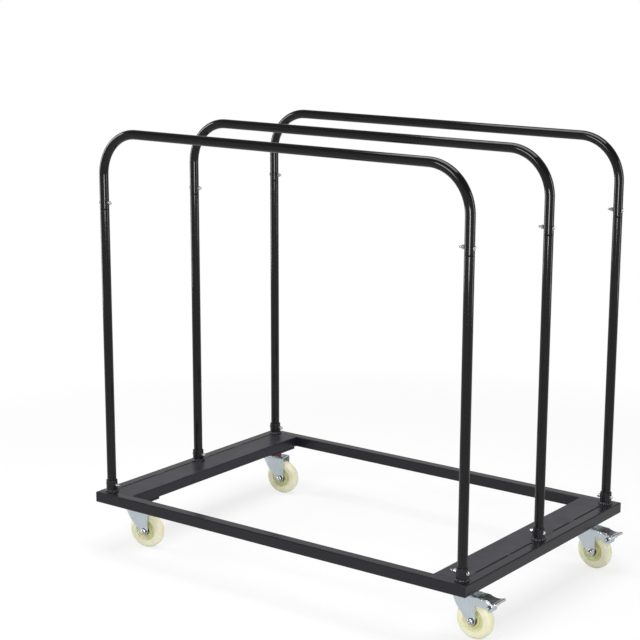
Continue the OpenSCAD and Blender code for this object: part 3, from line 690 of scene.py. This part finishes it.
class CART_OT_welds(CartOperator, Operator):
    """Lays the rippled weld beads between the decks and the end rails, and fills the decks' ends"""

    bl_idname = "cart.welds"
    bl_label = "Frame welds"

    # Stretches of bead from one place across the base to another, left and right
    left = ((-342.5, -324.5), (-182, -150), (20, 51), (162, 203), (330.5, 342.5))
    right = ((-342.5, -302.5), (-151, -140), (-34, -20), (20, 77), (160, 190), (334.5, 342.5))

    def execute(self, context):
        grids = [self.bead(-1, *span) for span in self.left]
        grids += [self.bead(1, *span) for span in self.right]
        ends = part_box("right_deck")[1].y / MM
        grids += [self.fill(side, end, ends) for side in (-1, 1) for end in (-1, 1)]
        make_piece(
            "Weld_beads", [at_base(g) for g in grids], "chassis", finish("Enamelled weld"),
            "black_paint", ("frame_welds",), 60,
        )
        return {"FINISHED"}

    def bead(self, side, start, end):
        """Half an ellipse above the deck and half a deeper one in the groove, carried along Y. Its
        height is rippled by a wave of the length plus the square of the place across it, its width
        wanders, and both draw in to nothing at the ends."""
        y = np.linspace(start, end, int((end - start) / 0.35) + 2)[:, None]
        a = np.linspace(0, 2 * np.pi, 20, endpoint=False)[None, :]
        inset = np.clip(np.minimum(y - start, end - y) / 3.2, 0, 1)
        closing = np.sqrt(1 - (1 - inset) ** 2)
        width = 3.8 * (1 + 0.08 * np.sin(0.9 * y + 2 * np.sin(0.31 * y)))
        wave = ((y + 1.5 * np.cos(a) ** 2) / 2.3) % 1
        ripple = 1 + 0.3 * (wave**0.6 - 0.6)
        high = np.where(np.sin(a) > 0, 0.6 * ripple, 1.9) * np.sin(a)
        x = side * (SEAM_X + width * closing * np.cos(a))
        return np.stack([x, y + 0 * a, DECK_Z + high * closing], 2)

    def fill(self, side, end, ends):
        """A hollow fillet along X from the deck tube's end to the rounded edge of the side rail, with a
        ripple on its upper points."""
        deck = middle_of("right_deck")[0] - MIDDLE_X
        section = np.array([
            [-0.1, 0.06], [0.5, 0.05], [1.2, 0.0], [2.0, 0.0], [1.2, -0.7], [0.5, -1.5], [-0.1, -2.0],
        ])
        half = 37
        x = np.linspace(-half, half, 150)[:, None]
        ripple = 0.09 * np.sin(2 * np.pi * x / 2.1) * (section[None, :, 1] > -0.1)
        shut = np.ones_like(x)
        shut[[0, -1]] = 0
        y = end * (ends + section[None, :, 0] * shut)
        z = DECK_Z + section[None, :, 1] * shut + ripple * shut
        return np.stack([side * deck + x + 0 * y, y, z], 2)


class CART_OT_hoops(CartOperator, Operator):
    """Bends the three hoops from round tube, each pressed in a little where its bolts clamp it"""

    bl_idname = "cart.hoops"
    bl_label = "Hoops"

    def execute(self, context):
        tube = context.scene.cart_tubes
        outer, inner = tube.radii()
        bend = tube.bend_radius / MM
        low, high = (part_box("front_hoop")[i].z / MM for i in (0, 1))
        x = (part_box("front_hoop")[1].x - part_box("front_hoop")[0].x) / 2 / MM - outer
        top = high - outer
        # The middle line: up one leg, a quarter circle, along the top, a quarter circle and down.
        cut_end = np.array([0, 0.25, 0.6, 1.2])
        leg = np.concatenate([low + cut_end, np.linspace(low + 4, top - bend, 30)])
        arc = np.linspace(0, np.pi / 2, 25)[1:]
        up = np.stack([0 * leg - x, 0 * leg, leg], 1)
        curve = np.stack([-x + bend - bend * np.cos(arc), 0 * arc, top - bend + bend * np.sin(arc)], 1)
        level = np.linspace(-x + bend, x - bend, 24)[1:-1]
        along = np.stack([level, 0 * level, 0 * level + top], 1)
        half = np.concatenate([up, curve])
        path = np.concatenate([half, along, half[::-1] * [-1, 1, 1]])
        a = np.linspace(0, 2 * np.pi, tube.round_steps, endpoint=False)
        ring = np.stack([np.cos(a), np.sin(a)], 1)
        step = np.linalg.norm(np.diff(path, axis=0), axis=1)
        run = np.concatenate([[0], np.cumsum(step)])
        end = np.minimum(run, run[-1] - run)
        # The cut end is rounded, and the bolt's clamping leaves a dent on each side of the leg.
        lip = np.interp(end, cut_end, [0.55, 0.2, 0.05, 0.0])
        dent = 0.25 * np.exp(-(((end - JOINT_BOLT) / 5) ** 2))[:, None] * np.abs(np.sin(a))[None] ** 6
        outside = carried(path, ring, (0, 1, 0)) - path[:, None]
        out_grid = path[:, None] + outside * (outer - lip[:, None] - dent)[..., None]
        in_grid = path[:, None] + outside * (inner + 0.3 * lip[:, None])[..., None]
        grid = np.concatenate([out_grid, in_grid[::-1]])
        for name in ("front_hoop", "middle_hoop", "back_hoop"):
            place = [0, middle_of(name)[1], 0]
            make_piece(
                name.capitalize() + "_tube", [(at_base(grid + place), True)], "chassis",
                finish("Black enamel tube"), "black_paint", (name,), 50,
            )
        return {"FINISHED"}


class CART_OT_posts(CartOperator, Operator):
    """Draws the six posts, with the reduced end that plugs into the hoop"""

    bl_idname = "cart.posts"
    bl_label = "Posts"

    def execute(self, context):
        tube = context.scene.cart_tubes
        outer, inner = tube.radii()
        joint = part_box("front_hoop")[0].z / MM
        for node in POSTS:
            z0, z1 = (v.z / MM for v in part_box(node))
            rise = np.concatenate([[z0 + 1.0], np.linspace(z0 + 2, joint - 2.5, 40)])
            profile = np.concatenate([
                [[inner, z0], [outer - 0.6, z0], [outer, z0 + 0.7]],
                np.stack([0 * rise + outer, rise], 1),
                [[outer, joint - 1.4], [outer - 0.35, joint - 0.5], [inner - 0.05, joint + 0.1]],
                [[inner - 0.05, z1 - 1], [inner - 0.6, z1], [inner - 1.5, z1], [inner - 1.5, z0 + 2]],
            ])

            def pressed(r, h, a):
                near = np.exp(-(((h - z0 - SOCKET_BOLT) / 5) ** 2)) + 0 * a
                return r - 0.2 * near * np.abs(np.cos(a)) ** 6 * (r > inner - 0.01)

            grid = revolved(profile, tube.round_steps, pressed)
            grid = (grid + middle_of(node) * [1, 1, 0]) * MM
            make_piece(
                node.capitalize() + "_tube", [(grid, True)], "chassis", finish("Black enamel tube"),
                "black_paint", (node,), 50,
            )
        return {"FINISHED"}


class CART_OT_sockets(CartOperator, Operator):
    """Turns the six post sockets, with a rippled weld round each foot"""

    bl_idname = "cart.sockets"
    bl_label = "Post sockets"

    def execute(self, context):
        bore, outer, foot, height, weld_top = 12.7, SOCKET, 19.0, 32.0, 6.6
        grids = []
        tube = softened(
            [[bore, 0.4], [outer - 0.5, 0.4], [outer, 1], [outer, height], [bore, height]], 0.7, 4, True
        )
        # The bead is a quarter ellipse between the deck and the socket, rippled round its length.
        weld = np.linspace(0, np.pi / 2, 10)
        bead = [outer + (foot - outer) * np.cos(weld) ** 1.2, weld_top * np.sin(weld) ** 1.2]
        bead = np.concatenate([[[outer - 1, 0.02]], np.stack(bead, 1), [[outer - 1, weld_top]]])

        def rippled(r, h, a):
            swell = np.clip((r - outer) / (foot - outer), 0, 1)
            lean = 0.25 * h
            return r + 0.32 * swell * (np.cos(26 * a + lean) - 1) + 0.12 * swell * np.sin(3 * a + 1)

        for node in POSTS:
            place = middle_of(node) * [1, 1, 0] + [0, 0, DECK_Z]
            for grid in (revolved(tube, 64), revolved(bead, 208, rippled)):
                grids.append(((grid + place) * MM, True))
        make_piece(
            "Post_socket_tubes", grids, "chassis", finish("Black enamel"), "black_paint",
            ("post_sockets",), 40,
        )
        return {"FINISHED"}


class CART_OT_post_bolts(CartOperator, Operator):
    """Makes the twelve domed bolts through the sockets and joints, and the nuts on them"""

    bl_idname = "cart.post_bolts"
    bl_label = "Post bolts"

    def execute(self, context):
        pitch = context.scene.cart_metal.pitch / MM
        joint_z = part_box("front_hoop")[0].z / MM + JOINT_BOLT
        post_outer, nut_h = context.scene.cart_tubes.radii()[0], 6.6
        bolts, nuts = [], []
        collar = softened([[3.05, 0], [4.9, 0], [4.9, 1.4], [4.2, 2.4], [3.05, 2.4]], 0.5, 4, True)
        head_r, head_h = 6.5, 4.0
        sphere = (head_r**2 + head_h**2) / (2 * head_h)
        rise = np.linspace(math.asin(head_r / sphere), 0, 9)
        dome = np.stack([sphere * np.sin(rise), head_h - sphere + sphere * np.cos(rise)], 1)
        # The square neck is hidden in the tube, so the profile goes from the shank to the crown.
        neck = [[0, -2.0], [2.9, -2.0], [2.9, 0], [head_r - 0.3, 0], [head_r, 0.3]]
        head = np.concatenate([neck, dome[1:]])
        head[-1, 0] = 0
        for node in POSTS:
            x, y, _ = middle_of(node) - [MIDDLE_X, 0, 0]
            side = 1 if x > 0 else -1
            for z, reach in ((DECK_Z + SOCKET_BOLT, SOCKET), (joint_z, post_outer)):
                place = np.array([x, y, z])
                seat = reach + 0.05
                # The bolts of the middle and back sockets at the braked end stop at their nuts.
                short = side > 0 and y > -100 and z < joint_z
                past = 7.5 if short else 15.5 if side > 0 else 12.5
                shank = threaded(6.0, pitch, -seat - past, seat - 1)
                parts = [revolved(head, 40) + [0, 0, seat], shank]
                bolts += [at_base(turned(p, 1, 90 * side) + place) for p in parts]
                nut = hex_body(10, nut_h, 2.75, both=True) + [0, 0, -seat - nut_h]
                ring = revolved(collar * [1, -1], 32) + [0, 0, 0.3 - seat - nut_h]
                nuts += [(at_base(turned(g, 1, 90 * side) + place), True) for g in (nut, ring)]
        zinc = finish("Passivated zinc")
        make_piece("Domed_post_bolts", bolts, "chassis", zinc, "bright_zinc", ("post_bolts",), 40)
        make_piece("Hex_post_nuts", nuts, "chassis", zinc, "bright_zinc", ("post_nuts",), 25)
        return {"FINISHED"}


class CART_OT_swivels(CartOperator, Operator):
    """Finishes the casters' top plates, ball races, seals, kingpins and plate bolts"""

    bl_idname = "cart.swivels"
    bl_label = "Swivels"

    def execute(self, context):
        edge = context.scene.cart_metal.edge / MM
        for node, name, slot, width in (
            ("caster_top_plates", "Zinc plate", "zinc_plate", edge),
            ("caster_plate_bolts", "Bright zinc", "bright_zinc", 0.4),
            ("kingpins", "Zinc plate", "zinc_plate", 0.6),
            ("swivel_seals", "Red seal rubber", "seal_rubber", 0.6),
        ):
            bevelled(node, node.capitalize(), finish(name), width)
        painted("swivel_balls", finish("Bearing steel"))
        return {"FINISHED"}


class CART_OT_forks(CartOperator, Operator):
    """Finishes the forks with rounded edges, and their axle bolts, nuts, sleeves and dust washers"""

    bl_idname = "cart.forks"
    bl_label = "Caster forks"

    def execute(self, context):
        edge = context.scene.cart_metal.edge / MM
        zinc, bright = finish("Zinc plate"), finish("Bright zinc")
        cap = self.ring([
            [6.1, 13.9], [12.4, 13.9], [12.9, 14.4], [12.9, 17.9], [10.6, 17.9], [10.6, 16.4],
            [6.1, 16.4],
        ], 0.4, 56)
        bolt = [threaded(8.0, 1.25, -20, LEG + 12), hex_body(12.8, 5.3) * [1, 1, -1] + [0, 0, -LEG]]
        flange = self.ring([[4.05, 0], [8.6, 0], [8.6, 0.7], [7.2, 1.2], [4.05, 1.4]], 0.3, 48)
        collar = softened([[4.05, 6.0], [5.7, 6.0], [5.7, 8.2], [4.9, 9.0], [4.05, 9.0]], 0.5, 4, True)
        nut = [hex_body(12.8, 6.8, 3.9), revolved(collar, 40)]
        lock = self.ring([[4.0, 8.2], [5.1, 8.2], [5.1, 9.1], [4.0, 9.1]], 0.25, 36)
        nut, flange, lock = [g + [0, 0, LEG] for g in nut], flange + [0, 0, LEG], lock + [0, 0, LEG]

        for corner in CORNERS:
            body = corner + "_caster"
            start = corner.capitalize()

            def placed(grids):
                return [(at_caster(across(g, AXLE), corner), True) for g in grids]

            bevelled(corner + "_fork", start + "_pressed_fork", zinc, edge)
            bevelled(corner + "_hub_sleeve", start + "_spacer_tube", zinc, 0.3)
            make_piece(
                start + "_dust_caps", placed([cap, cap * [1, 1, -1]]), body, finish("Black plastic"),
                "black_plastic", (corner + "_dust_washers",),
            )
            make_piece(
                start + "_hex_axle_bolt", [at_caster(across(p, AXLE), corner) for p in bolt], body,
                bright, "bright_zinc", (corner + "_axle_bolt",), 25,
            )
            make_piece(
                start + "_lock_nut", placed(nut), body, bright, "bright_zinc",
                (corner + "_axle_nut",), 25,
            )
            # Painted shade: at three corners the nut's flange is black oxide to stand for the dark
            # shade round the nut; at the back right it is bright zinc.
            unshaded_corner = corner == "back_right"
            look = (bright, "bright_zinc") if unshaded_corner else (finish("Black oxide"), "black_steel")
            make_piece(start + "_nut_flange", placed([flange]), body, *look)
            make_piece(
                start + "_nylon_lock_ring", placed([lock]), body, finish("Black plastic"),
                "black_plastic",
            )
        return {"FINISHED"}

    def ring(self, profile, radius, segments):
        """A softened closed profile turned round Z."""
        return revolved(softened(profile, radius, 3, True), segments)


class CART_OT_wheels(CartOperator, Operator):
    """Turns the nylon wheels: crowned tread with a mould line, rounded shoulders, recessed faces"""

    bl_idname = "cart.wheels"
    bl_label = "Wheels"

    def execute(self, context):
        wheel = context.scene.cart_wheels
        r, w = wheel.diameter / 2 / MM, wheel.width / 2 / MM
        corners = np.array([
            [6.05, w - 0.6], [6.6, w], [18.2, w], [19.6, w - 4.6], [26.4, w - 5.0], [28.9, w - 0.2],
            [30.0, w], [r - 7.5, w], [r, w - 7.0], [r, 0.35], [r, 0.3],
        ])
        radii = np.array([0.3, 0.4, 1.0, 1.4, 1.8, 0.9, 0.4, 4.0, 4.8, 0.05, 0.05])
        side = softened(corners, radii, 6)
        profile = np.concatenate([side, side[::-1] * [1, -1], [[6.05, 0]]])
        groove = np.exp(-((profile[:, 1] / 0.35) ** 2)) * (profile[:, 0] > r - 1)
        profile[:, 0] -= 0.12 * groove
        grid = revolved(profile, 144)
        for corner in CORNERS:
            piece = make_piece(
                corner.capitalize() + "_nylon_wheel", [(at_caster(across(grid, AXLE), corner), True)],
                corner + "_wheel", finish("Ivory nylon"), "ivory_nylon", (corner + "_wheel",), 50,
            )
            self.mark_painted_shade(piece.data, corner, w)
        return {"FINISHED"}

    def mark_painted_shade(self, mesh, corner, half):
        """How much painted shade the nylon has at each point, kept in the mesh: full from the hub out
        to the recess, less towards its rim by an S-curve of the radius, and a little again on the
        shoulders of the tread."""
        place = np.empty(len(mesh.vertices) * 3)
        mesh.vertices.foreach_get("co", place)
        local = from_caster(place.reshape(-1, 3), corner) - [AXLE[0], 0, AXLE[1]]
        reach = np.hypot(local[:, 0], local[:, 2])
        inner = np.clip((31.5 - reach) / 10, 0, 1)
        rim = np.clip((reach - 45) / 4, 0, 1) * np.clip((np.abs(local[:, 1]) - half + 9) / 6, 0, 1)
        depth = inner * inner * (3 - 2 * inner) + 0.3 * rim
        mesh.attributes.new("Painted nylon shade", "FLOAT", "POINT").data.foreach_set("value", depth)


class CART_OT_brakes(CartOperator, Operator):
    """Finishes the two brakes: chrome pedal, shoe, pivot bolt, square nut and stop pin"""

    bl_idname = "cart.brakes"
    bl_label = "Brakes"

    # The pivot, and the middle line of the pedal's plate, in a caster's length and height
    pivot = (88.026, 96.5)
    line = ((61.4, 113.6), (84.0, 109.4), (95.5, 107.0), (105.3, 110.4), (107.2, 104.6))
    round_end = 5.0  # radius of a cheek round the pivot

    def execute(self, context):
        zinc, bright, black = finish("Zinc plate"), finish("Bright zinc"), finish("Black oxide")
        for corner in BRAKED:
            start, body = corner.capitalize(), corner + "_pedal"
            grids = [at_caster(self.plate(), corner)]
            grids += [(at_caster(self.cheek(side), corner), True) for side in (-1, 1)]
            make_piece(
                start + "_chrome_pedal", grids, body, finish("Chrome plate"), "chrome_plate",
                (corner + "_brake_pedal",), 40,
            )
            bevelled(corner + "_brake_shoe", start + "_cam_shoe", zinc, 0.4)
            sleeve = softened([[3.1, -15.5], [5.4, -15.5], [5.4, 15.5], [3.1, 15.5]], 0.4, 3, True)
            sleeve = at_caster(across(revolved(sleeve, 48), self.pivot), corner)
            make_piece(start + "_pivot_sleeve", [(sleeve, True)], body, bright, "bright_zinc")
            bevelled(corner + "_pedal_bolt", start + "_pivot_bolt", bright, 0.3)
            bevelled(corner + "_pedal_nut", start + "_square_nut", black, 0.4)
            bevelled(corner + "_stop_pin", start + "_rest_pin", bright, 0.2)
        return {"FINISHED"}

    def plate(self):
        """The pedal's plate: a flat loop with half-round edges, carried along a middle line that runs
        down to a soft fold, up to the tip and down in a short lip. Its half width follows the plan,
        which spreads in an S-curve towards the tip. Its edges dip by the square of the place across it,
        and both ends are rounded."""
        half_thick, corner_r, narrow, wide = 1.25, 3.2, 17.6, 25.0
        bends = softened(self.line, [0, 9, 8, 2.4, 0], 10)
        step = np.linalg.norm(np.diff(bends, axis=0), axis=1)
        run = np.concatenate([[0], np.cumsum(step)])
        tip = np.array([0, 0.1, 0.35, 0.75])
        at = np.concatenate([tip, np.linspace(1.3, run[-1] - 1.3, 90), run[-1] - tip[::-1]])
        line = np.stack([np.interp(at, run, bends[:, i]) for i in (0, 1)], 1)
        end = np.minimum(at, run[-1] - at)[:, None]
        slope = np.gradient(line, axis=0)
        slope /= np.linalg.norm(slope, axis=1)[:, None]
        normal = np.stack([-slope[:, 1], slope[:, 0]], 1)
        part = np.clip((line[:, 0] - 84) / 15, 0, 1)
        half = narrow + (wide - narrow) * part * part * (3 - 2 * part)
        round_off = np.clip(1 - (run[-1] - at) / corner_r, 0, 1)
        half = (half - corner_r * (1 - np.sqrt(1 - round_off**2)))[:, None]
        into = 1 - np.clip(end / half_thick, 0, 1)
        thick = half_thick * np.sqrt(np.clip(1 - into**2, 0, 1))
        a = np.linspace(0, np.pi, 9)
        flat = np.linspace(-1, 1, 21)[1:-1]
        v = np.concatenate([0 * a - 1, flat, 0 * a + 1, flat[::-1]])[None, :]
        edge = np.concatenate([-np.sin(a), 0 * flat, np.sin(a), 0 * flat])[None, :]
        lift = np.concatenate([-np.cos(a), 0 * flat + 1, np.cos(a), 0 * flat - 1])[None, :]
        across_it = v * (half - half_thick) + edge * thick
        raised = lift * thick - 0.5 * v**2 * np.clip(end / 4, 0, 1)
        place = line[:, None] + raised[..., None] * normal[:, None]
        return np.stack([place[..., 0], -across_it, place[..., 1]], 2)

    def cheek(self, side):
        """A cheek between the pivot and the plate. Its outline's distance from the pivot at each angle
        is that of the straight edge that the angle crosses, or of the round end where that is further.
        """
        corners = np.array([[74.5, 111.4], [84.0, 109.4], [95.5, 108.0], [101.0, 109.3]]) - self.pivot
        far = np.hypot(*corners[[0, -1]].T)
        turn = np.arctan2(*corners[[0, -1]].T[::-1]) + np.arccos(self.round_end / far) * [1, -1]
        touch = self.round_end * np.stack([np.cos(turn), np.sin(turn)], 1)
        ring = np.concatenate([touch[:1], corners, touch[1:]])
        d = np.roll(ring, -1, 0) - ring
        rim, bore = 10.0, 3.05

        def outline(r, h, a):
            x, y = np.cos(a)[..., None], np.sin(a)[..., None]
            cross = x * d[:, 1] - y * d[:, 0]
            cross = np.where(np.abs(cross) < 1e-9, 1e-9, cross)
            reach = (ring[:, 0] * d[:, 1] - ring[:, 1] * d[:, 0]) / cross
            along = (ring[:, 0] * y - ring[:, 1] * x) / cross
            hit = (reach > 0) & (along >= 0) & (along <= 1)
            edge = np.maximum(np.where(hit, reach, 0).max(-1), self.round_end)
            return np.where(r > bore, edge + r - rim, r)

        inner, outer, soft = 15.6, 17.6, 0.4
        profile = [
            [bore, inner], [rim - soft, inner], [rim, inner + soft], [rim, outer - soft],
            [rim - soft, outer], [bore, outer],
        ]
        flat = revolved(profile, 120, outline)
        x, z = flat[..., 0] + self.pivot[0], flat[..., 1] + self.pivot[1]
        return np.stack([x, -side * flat[..., 2], z], 2)


class CART_OT_stage(CartOperator, Operator):
    """Sets the pale floor, the soft lamps and the camera"""

    bl_idname = "cart.stage"
    bl_label = "Stage"

    def execute(self, context):
        settings = context.scene.cart_stage
        self.lay_floor()
        self.light(context.scene, settings)
        self.aim(context.scene, settings)
        return {"FINISHED"}

    def lay_floor(self):
        """A round floor whose colour is painted pale in the middle and greyer further out, as a pool of
        light. Its points are r cos a, r sin a, 0."""
        r = np.concatenate([[0.0], np.linspace(0.5, 30, 24)])
        grid = revolved(np.stack([r, 0 * r], 1), 96)
        mesh = bpy.data.meshes.new("Studio_floor")
        mesh.from_pydata(grid.reshape(-1, 3), [], quads_of(*grid.shape[:2], False, 0))
        joined(mesh, 1e-6)
        floor = bpy.data.objects.new("Studio_floor", mesh)
        bpy.context.scene.collection.objects.link(floor)
        made, tree, shader = blank("Studio white", Roughness=0.9)
        shader["Specular IOR Level"].default_value = 0.0
        path = put(tree, "ShaderNodeLightPath").outputs
        place = put(tree, "ShaderNodeTexCoord").outputs["Object"]
        away = put(tree, "ShaderNodeVectorMath", {0: place}, operation="LENGTH").outputs["Value"]
        painted_light_pool = spread(tree, away, 1.0, 3.2)
        link_all(tree, shader, Base_Color=two_tone(tree, painted_light_pool, (0.8, 0.8, 0.8), (0.3, 0.3, 0.3)))
        # The camera and mirrors see it white further out, and near the cart partly with its shadow.
        seen = maths(tree, "MAXIMUM", path["Is Camera Ray"], path["Is Transmission Ray"])
        seen = maths(tree, "MAXIMUM", seen, path["Is Glossy Ray"])
        level = spread(tree, path["Is Glossy Ray"], 0, 1, 1.0, 0.58)
        glow = put(tree, "ShaderNodeEmission", {"Color": (1, 1, 1, 1), "Strength": level})
        share = maths(tree, "MULTIPLY", seen, spread(tree, away, 0.8, 2.2, 0.72, 1.0))
        lit = tree.nodes["Principled BSDF"].outputs[0]
        mixed = put(tree, "ShaderNodeMixShader", {0: share, 1: lit, 2: glow.outputs[0]})
        tree.links.new(mixed.outputs[0], tree.nodes["Material Output"].inputs["Surface"])
        mesh.materials.append(made)

    def light(self, scene, settings):
        """Tall lamps at both sides, softer ones in front and overhead, and a surround that is bright
        behind the cart and above it, and dim in front."""
        world = bpy.data.worlds.new("Studio surround")
        world.use_nodes = True
        scene.world = world
        tree = world.node_tree
        back = tree.nodes["Background"]
        way = put(tree, "ShaderNodeTexCoord").outputs["Generated"]
        inputs = {0: way, 1: (-0.56, 0.78, 0.28)}
        behind = put(tree, "ShaderNodeVectorMath", inputs, operation="DOT_PRODUCT").outputs["Value"]
        height = put(tree, "ShaderNodeSeparateXYZ", {0: way}).outputs["Z"]
        level = maths(
            tree, "ADD", spread(tree, behind, 0.1, 0.95, 0.2, 1.3),
            spread(tree, height, 0.35, 0.95, 0.0, 0.5),
        )
        path = put(tree, "ShaderNodeLightPath").outputs
        seen = maths(tree, "MAXIMUM", path["Is Camera Ray"], path["Is Transmission Ray"])
        lit = maths(tree, "MULTIPLY", level, settings.sky)
        mirrored = maths(
            tree, "MULTIPLY", spread(tree, behind, 0.0, 0.9, 0.5, 0.6),
            spread(tree, height, 0.28, 0.6, 1.0, 0.25),
        )
        inputs = {"Factor": path["Is Glossy Ray"], "A": lit, "B": mirrored}
        strength = put(tree, "ShaderNodeMix", inputs).outputs["Result"]
        inputs = {"Factor": seen, "A": strength, "B": 1.0}
        strength = put(tree, "ShaderNodeMix", inputs).outputs["Result"]
        back.inputs["Color"].default_value = (1, 1, 1, 1)
        tree.links.new(strength, back.inputs["Strength"])
        lamps = (
            ("Left_lamp", (-3.3, -0.9, 1.35), (0, 0, 0.7), 0.6, 2.6, 55),
            ("Right_lamp", (3.2, 1.5, 1.35), (0, 0, 0.6), 0.5, 2.6, 35),
            ("Top_lamp", (0.0, 0.2, 3.4), (0, 0, 0), 2.6, 1.8, 70),
            ("Front_lamp", (-0.6, -4.2, 3.0), (0, 0, 0.2), 1.8, 1.4, 66),
            ("Low_right_lamp", (1.6, -2.2, 0.8), (0.6, -0.2, 0.1), 0.7, 0.7, 26),
        )
        for name, place, target, width, tall, power in lamps:
            lamp = bpy.data.lights.new(name, "AREA")
            lamp.shape, lamp.size, lamp.size_y = "RECTANGLE", width, tall
            lamp.energy = power * settings.lamp
            holder = bpy.data.objects.new(name, lamp)
            holder.location = place
            holder.rotation_euler = (Vector(target) - Vector(place)).to_track_quat("-Z", "Y").to_euler()
            scene.collection.objects.link(holder)

    def aim(self, scene, settings):
        """The camera's place and direction, as azimuth, elevation and roll in degrees."""
        azimuth, elevation, roll = (math.radians(a) for a in (36.265, 13.300, 0.281))
        ahead = Vector((
            -math.sin(azimuth) * math.cos(elevation), math.cos(azimuth) * math.cos(elevation),
            -math.sin(elevation),
        ))
        right = Vector((math.cos(azimuth), math.sin(azimuth), 0))
        up = right.cross(ahead)
        c, s = math.cos(roll), math.sin(roll)
        right, up = right * c + up * s, up * c - right * s
        lens = bpy.data.cameras.new("Photo_camera")
        lens.sensor_fit, lens.sensor_width, lens.lens = "HORIZONTAL", 36.0, settings.lens
        lens.shift_x, lens.shift_y = -0.02777, 0.04854
        lens.clip_start, lens.clip_end = 0.05, 100
        camera = bpy.data.objects.new("Photo_camera", lens)
        camera.matrix_world = Matrix((
            (right.x, up.x, -ahead.x, 2.581291), (right.y, up.y, -ahead.y, -3.64089),
            (right.z, up.z, -ahead.z, 1.63244), (0, 0, 0, 1),
        ))
        scene.collection.objects.link(camera)
        scene.camera = camera
        scene.view_settings.view_transform = "Standard"


PARTS = (
    CART_OT_base_frame, CART_OT_welds, CART_OT_sockets, CART_OT_hoops, CART_OT_posts,
    CART_OT_post_bolts, CART_OT_swivels, CART_OT_forks, CART_OT_wheels, CART_OT_brakes, CART_OT_stage,
)
SETTINGS = (
    ("cart_paint", PaintSettings), ("cart_tubes", TubeSettings), ("cart_metal", MetalSettings),
    ("cart_wheels", WheelSettings), ("cart_stage", StageSettings),
)


class CART_PT_dressing(Panel):
    """Lists the cart's settings and the pieces that they change"""

    bl_idname = "CART_PT_dressing"
    bl_label = "Drywall cart"
    bl_space_type = "VIEW_3D"
    bl_region_type = "UI"
    bl_category = "Cart"

    def draw(self, context):
        for key, kind in SETTINGS:
            box = self.layout.box()
            for name in kind.__annotations__:
                box.prop(getattr(context.scene, key), name)
        for part in PARTS:
            self.layout.operator(part.bl_idname)


def register():
    for key, kind in SETTINGS:
        bpy.utils.register_class(kind)
        setattr(bpy.types.Scene, key, PointerProperty(type=kind))
    for part in PARTS:
        bpy.utils.register_class(part)
    bpy.utils.register_class(CART_PT_dressing)


def unregister():
    bpy.utils.unregister_class(CART_PT_dressing)
    for part in reversed(PARTS):
        bpy.utils.unregister_class(part)
    for key, kind in reversed(SETTINGS):
        delattr(bpy.types.Scene, key)
        bpy.utils.unregister_class(kind)


def main():
    register()
    for part in PARTS:
        group, call = part.bl_idname.split(".")
        getattr(getattr(bpy.ops, group), call)()


if __name__ == "__main__":
    main()
